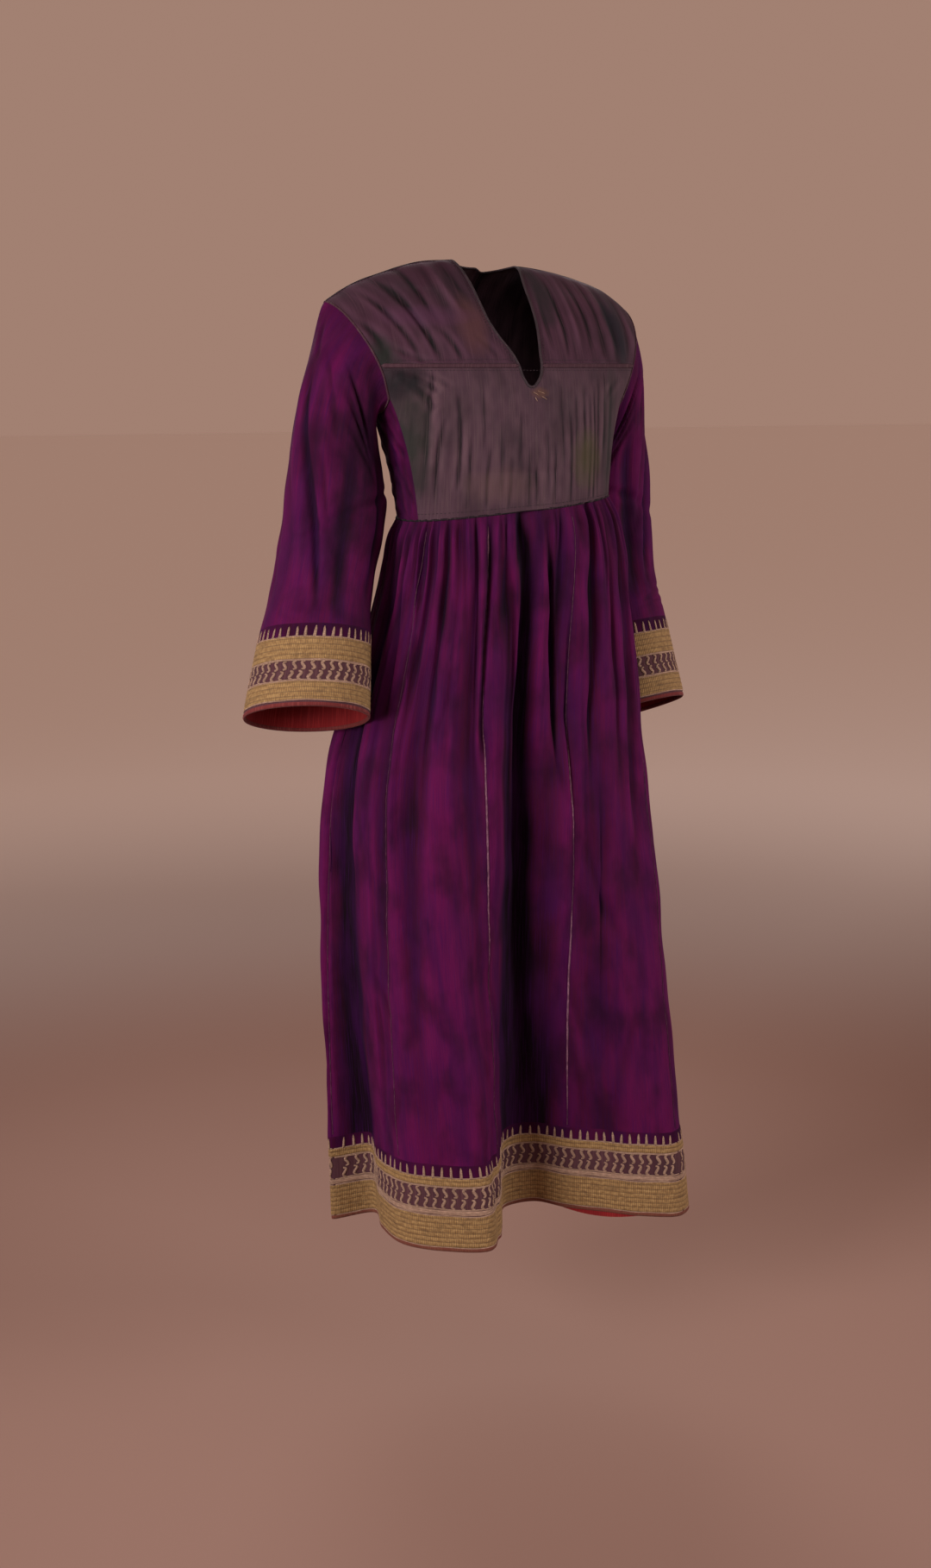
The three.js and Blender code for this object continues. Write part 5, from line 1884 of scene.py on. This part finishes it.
GORES = 9
GATHERS_PER_GORE = 5
FIRST_SEAM = 0.029
FRONT_TURN = 0.09
SKIRT_HEM = -1215.0
SKIRT_LENGTH = WAIST_LEVEL - SKIRT_HEM
SKIRT_POWER = 2.35
FOLD_GROWTH = 0.85
BAND_HEIGHT = 116.0
HEM_LENGTH = 1450.0

SKIRT = Table("z swing middle side front back", [
    (-284, 0, 4, 133, 118, -53), (-300, 2, 5, 139, 122, -59), (-340, 6, 9, 148, 121, -70),
    (-400, 12, 10, 158, 112, -84), (-500, 19, 5, 178, 98, -101), (-560, 22, 0, 190, 91, -114),
    (-630, 24, -2, 202, 83, -128), (-738, 24.7, 2, 213, 69, -140), (-852, 24.7, 7, 220, 56, -150),
    (-968, 24.7, 15, 225, 43, -160), (-1086, 24.7, 24, 230, 29, -170), (-1215, 24.7, 33, 236, 14, -180),
])

# Where the hem runs, one row for each fold edge, ridge and valley round from the front fold's
# left corner: along and out in the swung frame, and the height there.
HEM = (
    (6, 116, -1213), (18, 62, -1208), (24, 2, -1203), (62, -12, -1201), (105, 4, -1203), (150, 12, -1205),
    (205, 18, -1209), (254, 5, -1214), (269, -36, -1216), (237, -74, -1214), (233, -120, -1217),
    (181, -129, -1214), (161, -178, -1218), (104, -160, -1214), (64, -198, -1219), (12, -167, -1215),
    (-38, -190, -1219), (-82, -150, -1216), (-142, -158, -1220), (-158, -106, -1217), (-203, -86, -1221),
    (-180, -46, -1217), (-205, 4, -1219), (-150, -8, -1215), (-136, 46, -1214), (-112, 94, -1213),
    (-54, 120, -1213),
)


@dataclass(frozen=True)
class Fold:
    """A hanging fold: its place round the skirt, lean, half width, height, and where it starts and ends."""

    turn: float
    lean: float
    width: float
    height: float
    start: float
    end: float


def folds(*rows: tuple[float, ...], gain: float = 1.0) -> tuple[Fold, ...]:
    """Folds from rows whose place, lean and half width are in thousandths of the way round.

    Args:
        rows: the folds' values in the order of their fields.
        gain: what their heights are multiplied by.

    Returns:
        The folds.
    """
    return tuple(
        Fold(turn / 1000, lean / 1000, width / 1000, gain * height, *ends)
        for turn, lean, width, height, *ends in rows
    )


SMALL_FOLD_GAIN = 1.6
MAIN_FOLDS = folds(
    (82, 10, 30, -16, -0.05, 0.75), (125, 12, 18, -9, 0, 0.36), (132, -6, 22, 9, 0.28, 0.72),
    (192, 12, 20, 6, 0.02, 0.5), (232, -8, 16, -6, 0.05, 0.62), (43, 10, 22, 8, 0.04, 0.66),
    (8, 8, 17, -7, 0.08, 0.8), (978, -6, 18, 7, 0.02, 0.74), (948, -10, 15, -6, 0.12, 0.9),
    (912, -6, 16, -8, 0.2, 0.95), (872, -8, 20, 7, 0.04, 0.6), (315, 6, 20, -8, 0.03, 0.66),
    (362, 10, 22, 7, 0.06, 0.7), (430, -8, 20, 8, 0.02, 0.78), (472, 6, 18, -9, 0.05, 0.6),
    (552, -10, 22, -8, 0.03, 0.7), (604, 8, 20, 7, 0.05, 0.82), (676, 10, 18, -7, 0.04, 0.64),
    (742, -6, 20, 6, 0.1, 0.86),
)
SMALL_FOLDS = folds(
    (20, 4, 8, 3.2, 0.03, 0.42), (30, -4, 6, -3, 0.02, 0.34), (56, 6, 8, -3.6, 0.05, 0.5),
    (68, 4, 6, 3, 0, 0.3), (100, 6, 7, 3.4, 0.04, 0.38), (112, 10, 6, -3.2, 0, 0.26),
    (142, 4, 8, -4, 0.1, 0.48), (156, 12, 7, 3, 0.02, 0.32), (168, 6, 9, -4.2, 0.01, 0.44),
    (180, -4, 6, -2.4, 0.3, 0.82), (206, 6, 7, -3, 0, 0.36), (218, 4, 8, 3, 0.06, 0.5),
    (246, -6, 8, 3, 0.02, 0.4), (262, 6, 7, -2.6, 0.1, 0.7), (285, -6, 9, 3.4, 0.04, 0.62),
    (338, 6, 8, -3.2, 0.02, 0.36), (384, -6, 8, -3.6, 0, 0.44), (404, 4, 7, 2.8, 0.1, 0.6),
    (450, 6, 8, -3, 0.02, 0.38), (492, -4, 9, 3.4, 0, 0.5), (514, 4, 7, -3, 0.2, 0.74),
    (532, 6, 8, 3, 0.02, 0.36), (578, -6, 8, -3.6, 0.04, 0.56), (624, 6, 7, -2.8, 0, 0.4),
    (648, -6, 9, 3.6, 0.06, 0.66), (700, 4, 8, 3, 0.02, 0.42), (718, 6, 7, -3.2, 0.1, 0.58),
    (762, -6, 8, -3, 0, 0.46), (786, 6, 9, 3.6, 0.04, 0.7), (808, 4, 8, -4, 0.12, 0.86),
    (830, -6, 7, 2.8, 0, 0.38), (850, 4, 8, -3.4, 0.03, 0.52), (888, -6, 7, 3, 0.02, 0.5),
    (900, 4, 6, -2.6, 0.4, 0.95), (928, 6, 8, 3.4, 0.1, 0.62), (936, -4, 5, -2.4, 0, 0.3),
    (962, 6, 7, -3.2, 0.02, 0.44), (990, 4, 7, 3, 0.04, 0.56), (91, 22, 13, -6.5, -0.03, 0.95),
    (118, 30, 7, -5.5, 0, 0.42), (176, 0, 6, -4, -0.04, 0.3), (18, 8, 6, -3.6, 0.03, 0.45),
    (150, 6, 10, 3, 0.08, 0.6), (74, 12, 7, 3.4, 0, 0.6), (890, 30, 7, -3.8, 0, 0.3),
    (920, 24, 6, 3, 0, 0.24), (91, 0, 13, -4.5, 0.42, 1),
    gain=SMALL_FOLD_GAIN,
)

# Slanting pulls lower down, as places round and down the skirt in its own millimetres.
SKIRT_CREASES = creases(
    (191, 560, 252, 720, 12, 2.6, 8), (181, 600, 230, 800, 9, 2.2, -6), (230, 420, 291, 560, 11, 2.4, 6),
    (321, 640, 268, 800, 12, 2, 8), (35, 560, 84, 700, 9, 2, 6), (69, 620, 31, 790, 9, 1.8, -5),
    (-46, 520, -8, 680, 10, 2, 6), (-84, 640, -115, 800, 10, 2.2, 6), (-168, 560, -115, 640, 9, 2, -6),
    (-199, 300, -138, 470, 10, 2.2, 8), (31, 200, 54, 330, 8, 1.8, 3), (-23, 180, -46, 300, 8, 1.8, -3),
    (428, 400, 490, 560, 11, 2.4, 8), (536, 620, 490, 790, 11, 2.2, -6), (627, 460, 673, 640, 11, 2.4, 6),
    (734, 640, 773, 800, 10, 2.2, 6), (826, 380, 788, 560, 11, 2.2, -8), (933, 600, 979, 780, 11, 2.4, 6),
    (1056, 420, 1025, 600, 10, 2, 6), (1132, 640, 1170, 810, 10, 2.2, -6),
)
GATHER_DEPTH = Table("z depth fine", [
    (-440, 0, 0), (-380, 1.7, 0.2), (-330, 2.9, 0.9), (-300, 2.7, 1.2), (-284, 0.8, 0.4),
])

# A gore seam: how deep and how wide it sinks, and how deep, wide and long its puckers are.
SEAM_DEPTH, SEAM_WIDTH = 0.8, 2.6
PUCKER_DEPTH, PUCKER_WIDTH, PUCKER_WAVE = 0.25, 7, 17

# Its thread: half the width where it is sound and where it is worn, each one's lift off the cloth,
# its thickness as a share of its width, and the step between its rings.
SOUND_HALF_WIDTH, WORN_HALF_WIDTH = 0.45, 1.2
SOUND_LIFT, WORN_LIFT = 0.35, 0.3
THREAD_FLATNESS = 0.8
SEAM_STEP = 3.0

# Creases grow in from the waist over one part in WAIST_CALM of the fall, and BAND_CALM of them is
# lost on the stiff hem band. HEM_BINDING_UP is how far the hem's binding stands over the edge.
WAIST_CALM, BAND_CALM, BAND_CALM_RATE = 12, 0.75, 60
HEM_BINDING_UP = 1.4

# Where the hem's facing hangs below the band: how far, and its place and half width round the skirt.
FACING_DIP, DIP_TURN, DIP_WIDTH = 9.0, 0.17, 0.05

# The reach in columns, the height and the weight of small and of large folds in the silk's painted shade
# and highlight.
RELIEFS = ((11, 5.0, 0.75), (36, 13.0, 0.85))
RELIEF_SHIFT = -0.3

# Seams that are rubbed pale: the seam and the shares of its length between which it is worn.
WORN_SEAMS = (
    (0, 0.02, 0.07), (0, 0.32, 0.70), (1, 0.36, 0.52), (1, 0.62, 0.98), (4, 0.3, 0.5), (6, 0.5, 0.8),
)


@dataclass(frozen=True)
class BandSpan:
    """One length of the hem band, from one gore seam to another."""

    name: str
    first: int
    last: int


BAND_SPANS = (
    BandSpan("front_right", 7, 9), BandSpan("front_left", 0, 2), BandSpan("back_left", 2, 4),
    BandSpan("back_right", 4, 7),
)


def skirt_angle(turn: Array, level: Array) -> Array:
    """The angle round the ring at which a thread hangs, by its place round and its level."""
    return (turn - FRONT_TURN) * TAU + SKIRT.read("swing", level) * DEGREE


def skirt_ring(angle: Array, z: Array) -> Arrays:
    """The plain ring under the folds: along and out in the swung frame.

    Args:
        angle: the angle round the ring.
        z: the height.

    Returns:
        Along and out.
    """
    front, back = SKIRT.read("front", z), SKIRT.read("back", z)
    along = SKIRT.read("middle", z) + SKIRT.read("side", z) * signed_power(np.sin(angle), 2 / SKIRT_POWER)
    out = (front + back) / 2 + (front - back) / 2 * signed_power(np.cos(angle), 2 / SKIRT_POWER)
    return along, out


def hem_table() -> Table:
    """The hem's shifts from the plain ring and its heights, read by the share of the way round.

    Returns:
        The table.
    """
    rows = np.array(HEM, float)
    lengths = np.linalg.norm(np.roll(rows[:, :2], -1, axis=0) - rows[:, :2], axis=1)
    turns = np.concatenate([[0], np.cumsum(lengths)[:-1]]) / lengths.sum()
    level = np.full(len(turns), SKIRT_HEM)
    along, out = skirt_ring(skirt_angle(turns, level), level)
    body = joined(turns, rows[:, 0] - along, rows[:, 1] - out, rows[:, 2])
    turned = [body + np.array([whole, 0, 0, 0]) for whole in (-1, 0, 1, 2)]
    return Table("turn along out drop", [tuple(row) for row in np.concatenate(turned)])


@dataclass
class Skirt:
    """The gathered skirt: nine gores, the embroidered hem band, its facing and its binding."""

    wardrobe: Wardrobe
    gore_columns: int = 70
    gore_rows: int = 250
    band_rows: int = 42
    facing_height: float = 40.0
    silk_margin: float = 17.0
    gore_cut: tuple[float, float] = (0.175, 0.83)
    gore_area: float = 0.11
    hem: Table = field(default_factory=hem_table)

    def gathers(self, turn: Array, level: Array) -> Array:
        """The height of the waist's gathers, uneven in size and spacing.

        Args:
            turn: the place round the skirt, from 0 to 1.
            level: the height.

        Returns:
            How far they stand out.
        """
        wander = 0.0035 * np.sin(TAU * (3 * turn + 0.2)) + 0.0021 * np.sin(TAU * (7 * turn + 0.6))
        phase = TAU * GORES * GATHERS_PER_GORE * (turn + wander)
        uneven = 1 + 0.35 * np.sin(TAU * (13 * turn + 0.1)) + 0.25 * np.sin(TAU * (29 * turn + 0.4))
        fine = np.cos(2.0 * phase + 1.3 + 2 * np.sin(TAU * 17 * turn))
        large, small = GATHER_DEPTH.read("depth", level), GATHER_DEPTH.read("fine", level)
        return np.cos(phase) * uneven * large + fine * small

    def folds(self, turn: Array, fall: Array) -> Array:
        """The height of the hanging folds.

        Args:
            turn: the place round the skirt, from 0 to 1.
            fall: the share of the way from the waist to the hem.

        Returns:
            How far they stand out.
        """
        height = np.zeros(np.broadcast(turn, fall).shape)
        for fold in MAIN_FOLDS + SMALL_FOLDS:
            share = np.clip((fall - fold.start) / (fold.end - fold.start), 0, 1)
            middle = fold.turn + fold.lean * (share - 0.5)
            strength = np.sin(math.pi * share**0.8)
            height = height + fold.height * strength * soft_bump(turn, middle, fold.width)
        return height

    def grid(self) -> ClothGrid:
        """The whole skirt from the waist to the hem, as one closed cloth.

        Returns:
            The cloth.
        """
        split = 1 - BAND_HEIGHT / SKIRT_LENGTH
        gore_falls = np.linspace(0, split, self.gore_rows, endpoint=False)
        falls = np.concatenate([gore_falls, np.linspace(split, 1, self.band_rows + 1)])
        turns = FIRST_SEAM + shares(self.gore_columns * GORES)
        turn, fall = np.meshgrid(turns, falls)
        top = waist_level(skirt_angle(turn, np.full(turn.shape, WAIST_LEVEL))) - SEAM
        z = mix(top, self.hem.read("drop", turn), fall)
        level = mix(WAIST_LEVEL, SKIRT_HEM, fall)
        angle = skirt_angle(turn, level)
        along, out = skirt_ring(angle, level)
        grown = fall**FOLD_GROWTH
        raised = self.gathers(turn, level) + self.folds(turn, fall)
        along = along + self.hem.read("along", turn) * grown + raised * np.sin(angle)
        out = out + self.hem.read("out", turn) * grown + raised * np.cos(angle)
        swing = SKIRT.read("swing", level) * DEGREE
        x = along * np.cos(swing) - out * np.sin(swing)
        y = -along * np.sin(swing) - out * np.cos(swing)
        flat = joined(turn * HEM_LENGTH, fall * SKIRT_LENGTH)
        grid = ClothGrid(joined(x, y, z), flat, closed=True)
        quiet = np.clip(fall * WAIST_CALM, 0, 1)
        quiet = quiet * (1 - BAND_CALM * np.clip((fall - split) * BAND_CALM_RATE, 0, 1))
        height = crease_heights(flat, SKIRT_CREASES, HEM_LENGTH) + ripple(flat, 62, 1.2, 41, HEM_LENGTH)
        height = height * quiet
        for number in range(GORES):
            away = ((turn - FIRST_SEAM - number / GORES + 0.5) % 1 - 0.5) * HEM_LENGTH
            waves = np.sin(TAU * fall * SKIRT_LENGTH / PUCKER_WAVE)
            pucker = waves * np.exp(-((away / PUCKER_WIDTH) ** 2)) * PUCKER_DEPTH
            height = height - (SEAM_DEPTH * np.exp(-((away / SEAM_WIDTH) ** 2)) - pucker) * (fall < split)
        return grid.raised(height)

    def build(self) -> None:
        """Builds the gores, the hem and the sewing."""
        whole = self.grid()
        # The share by which shade in the folds and highlight on the crests are painted into the silk.
        small, large = (weight * whole.relief(reach, scale) for reach, scale, weight in RELIEFS)
        relief = np.clip(small + large + RELIEF_SHIFT, 0, 1)
        outs = whole.normals()
        rows = slice(0, self.gore_rows + 1)
        for number in range(GORES):
            columns = slice(number * self.gore_columns, (number + 1) * self.gore_columns + 1)
            gore = whole.part(rows, columns)
            piece = cloth_piece(f"gore_{number + 1}_cloth", gore, relief[rows, columns])
            self.wardrobe.dress(piece, SHOT_SILK, "shot_silk", f"skirt_gore_{number + 1}")
        for span in BAND_SPANS:
            self.band(whole, outs, span)
        self.sew(whole, outs)

    def band(self, whole: ClothGrid, outs: Array, span: BandSpan) -> None:
        """Builds one length of the hem band, with its thread and its facing.

        Args:
            whole: the whole skirt.
            outs: the way out at each of its points.
            span: which length.
        """
        columns = slice(span.first * self.gore_columns, span.last * self.gore_columns + 1)
        ground = whole.part(slice(self.gore_rows, None), columns)
        ground.flat = ground.flat.copy()
        ground.flat[..., 1] = np.linspace(BAND_HEIGHT, 0, self.band_rows + 1)[:, None]
        piece = cloth_piece(f"hem_{span.name}_cloth", ground)
        self.wardrobe.dress(piece, PLUM_GROUND, "gold_embroidery", "hem_band_" + span.name)
        across = (span.last - span.first) * self.gore_columns
        silk_rows = round(self.band_rows * self.silk_margin / BAND_HEIGHT)
        self.wardrobe.top_of_band(piece, across * silk_rows)
        Embroidery(ground, HEM_DESIGN, 51 + span.first).dress(self.wardrobe, "hem_" + span.name)
        rows = int(self.band_rows * self.facing_height / BAND_HEIGHT)
        loose = np.linspace(0, 1, rows)[:, None]
        dip = FACING_DIP * soft_bump(ground.flat[-rows:, :, 0] / HEM_LENGTH, DIP_TURN, DIP_WIDTH) * loose
        points = ground.points[-rows:] - outs[self.gore_rows :, columns][-rows:] * (CLOTH + SEAM)
        inner = ClothGrid(points + joined(0 * dip, 0 * dip, -dip), ground.flat[-rows:])
        piece = cloth_piece(f"hem_facing_{span.name}_cloth", inner)
        self.wardrobe.dress(piece, RED_FACING, "red_facing", "hem_facing_" + span.name)

    def sew(self, whole: ClothGrid, outs: Array) -> None:
        """Adds the waist seam, the gores' seams and the hem's binding.

        Args:
            whole: the whole skirt.
            outs: the way out at each of its points.
        """
        piece = rope("waist_seam", whole.points[0, :-1], outs[2, :-1], WAIST_SEAM, closed=True)
        self.wardrobe.dress(piece, YOKE_SATIN, "bodice_satin")
        up = unit(whole.points[-2] - whole.points[-1])
        middle = whole.points[-1] - outs[-1] * BINDING_INSET + up * HEM_BINDING_UP
        piece = rope("hem_binding", middle[:-1], outs[-1, :-1], HEM_BINDING, closed=True)
        self.wardrobe.dress(piece, RUST_BINDING, "gold_embroidery")

        def seam_line(number: int, first: int, last: int) -> Arrays:
            """A gore's seam between two rows, and the ways out along it."""
            where = slice(first, last), number * self.gore_columns
            return even_line(whole.points[where], outs[where], SEAM_STEP)

        seams = []
        for number in range(GORES):
            line, ways = seam_line(number, 4, self.gore_rows)
            line = line + ways * SOUND_LIFT
            widths = np.full(len(line), SOUND_HALF_WIDTH)
            seams.append(bars(line[None], ways[None], widths, widths * THREAD_FLATNESS))
            seams.append(stitches(line, ways, GORE_STITCH))
        self.wardrobe.dress(bars_piece("gore_seams", seams), SEAM_THREAD, "shot_silk")
        worn = []
        for number, low, high in WORN_SEAMS:
            line, ways = seam_line(number, int(low * self.gore_rows), int(high * self.gore_rows))
            line = line + ways * WORN_LIFT
            widths = WORN_HALF_WIDTH * np.sin(np.linspace(0.1, math.pi - 0.1, len(line))) ** 0.5
            worn.append(bars(line[None], ways[None], widths, widths * THREAD_FLATNESS))
        self.wardrobe.dress(bars_piece("worn_seams", worn), WORN_THREAD, "shot_silk")


# -------- floor, light, camera

FLOOR_LEVEL = -1.440
LIGHT_AIM = (0.0, 0.0, -0.6)
LIGHT_SPREAD = 75 * DEGREE


@dataclass(frozen=True)
class Lamp:
    """A square soft light that faces the dress, in metres and watts."""

    name: str
    place: tuple[float, float, float]
    size: float
    power: float


LAMPS = (
    Lamp("key", (-3.0, -1.3, 0.1), 1.5, 32), Lamp("fill", (2.5, -1.9, -0.1), 1.4, 17),
    Lamp("front", (-1.2, -3.2, 1.2), 2.0, 5), Lamp("back", (0.8, 3.0, 0.8), 2.0, 15),
)


@dataclass
class Studio:
    """A plain floor whose colour pales with distance as painted light against the lamps' fall-off, soft
    lights and the camera, in metres.
    """

    floor_reach: float = 40.0
    # The floor's colour near the dress and far off, and the distances between which it changes: painted
    # light that evens out the lamps' fall-off.
    near_floor: Colour = (0.240, 0.140, 0.112)
    far_floor: Colour = (0.960, 0.940, 0.930)
    floor_blend: tuple[float, float] = (1.3, 4.3)
    sky_colour: Colour = (0.86, 0.52, 0.40)
    sky_strength: float = 0.42
    camera_at: tuple[float, float, float] = (-1.100, -2.323, -0.121)
    camera_turn: float = -24.7
    camera_pitch: float = -11.33
    lens: float = 47.53

    def build(self) -> None:
        """Builds all of it."""
        self.floor()
        world = bpy.data.worlds.new("studio")
        world.use_nodes = True
        backdrop = world.node_tree.nodes["Background"]
        backdrop.inputs["Color"].default_value = (*self.sky_colour, 1)
        backdrop.inputs["Strength"].default_value = self.sky_strength
        bpy.context.scene.world = world
        bpy.context.scene.view_settings.view_transform = "Standard"
        for lamp in LAMPS:
            self.light(lamp)
        self.camera()

    def floor(self) -> None:
        """A wide plain floor, darker near the dress and paler far off: painted light that evens out the
        lamps' fall-off.
        """
        reach = self.floor_reach
        corners = [(-reach, -reach), (reach, -reach), (reach, reach), (-reach, reach)]
        mesh = bpy.data.meshes.new("floor")
        mesh.from_pydata([(x, y, 0.0) for x, y in corners], [], [(0, 1, 2, 3)])
        floor = bpy.data.objects.new("floor", mesh)
        floor.location = (0.0, 0.0, FLOOR_LEVEL)
        bpy.context.scene.collection.objects.link(floor)
        shade = Shader("floor")
        place = shade.add("TexCoord").outputs["Object"]
        distance = shade.add("VectorMath", {0: place}, operation="LENGTH").outputs["Value"]
        near, far = self.floor_blend
        feeds = {"Value": distance, "From Min": near, "From Max": far}
        share = shade.add("MapRange", feeds, interpolation_type="SMOOTHSTEP").outputs["Result"]
        shade.set(Specular_IOR_Level=0.1)
        mesh.materials.append(shade.finish(shade.blend(share, self.near_floor, self.far_floor), 0.9))

    def light(self, lamp: Lamp) -> None:
        """Adds a lamp and turns it towards the dress.

        Args:
            lamp: the lamp's place, size and power.
        """
        glow = bpy.data.lights.new(lamp.name, "AREA")
        glow.size, glow.energy, glow.spread = lamp.size, lamp.power, LIGHT_SPREAD
        holder = bpy.data.objects.new(lamp.name, glow)
        holder.location = lamp.place
        aim = np.array(LIGHT_AIM) - np.array(lamp.place)
        turn = math.atan2(-aim[0], aim[1])
        tilt = math.atan2(aim[2], math.hypot(aim[0], aim[1]))
        holder.rotation_euler = (math.pi / 2 + tilt, 0, turn)
        bpy.context.scene.collection.objects.link(holder)

    def camera(self) -> None:
        """The camera, level across and turned down a little."""
        lens = bpy.data.cameras.new("camera")
        lens.lens = self.lens
        holder = bpy.data.objects.new("camera", lens)
        holder.location = self.camera_at
        holder.rotation_euler = (math.pi / 2 + self.camera_pitch * DEGREE, 0, self.camera_turn * DEGREE)
        bpy.context.scene.collection.objects.link(holder)
        bpy.context.scene.camera = holder


def main() -> None:
    """Builds the dress piece by piece, then the studio round it."""
    logging.basicConfig(level=logging.INFO, format="%(message)s", force=True)
    Studio().build()
    wardrobe = Wardrobe()
    Bodice(wardrobe).build()
    for side in SIDES:
        Sleeve(wardrobe, side).build()
    Skirt(wardrobe).build()


if __name__ == "__main__":
    main()
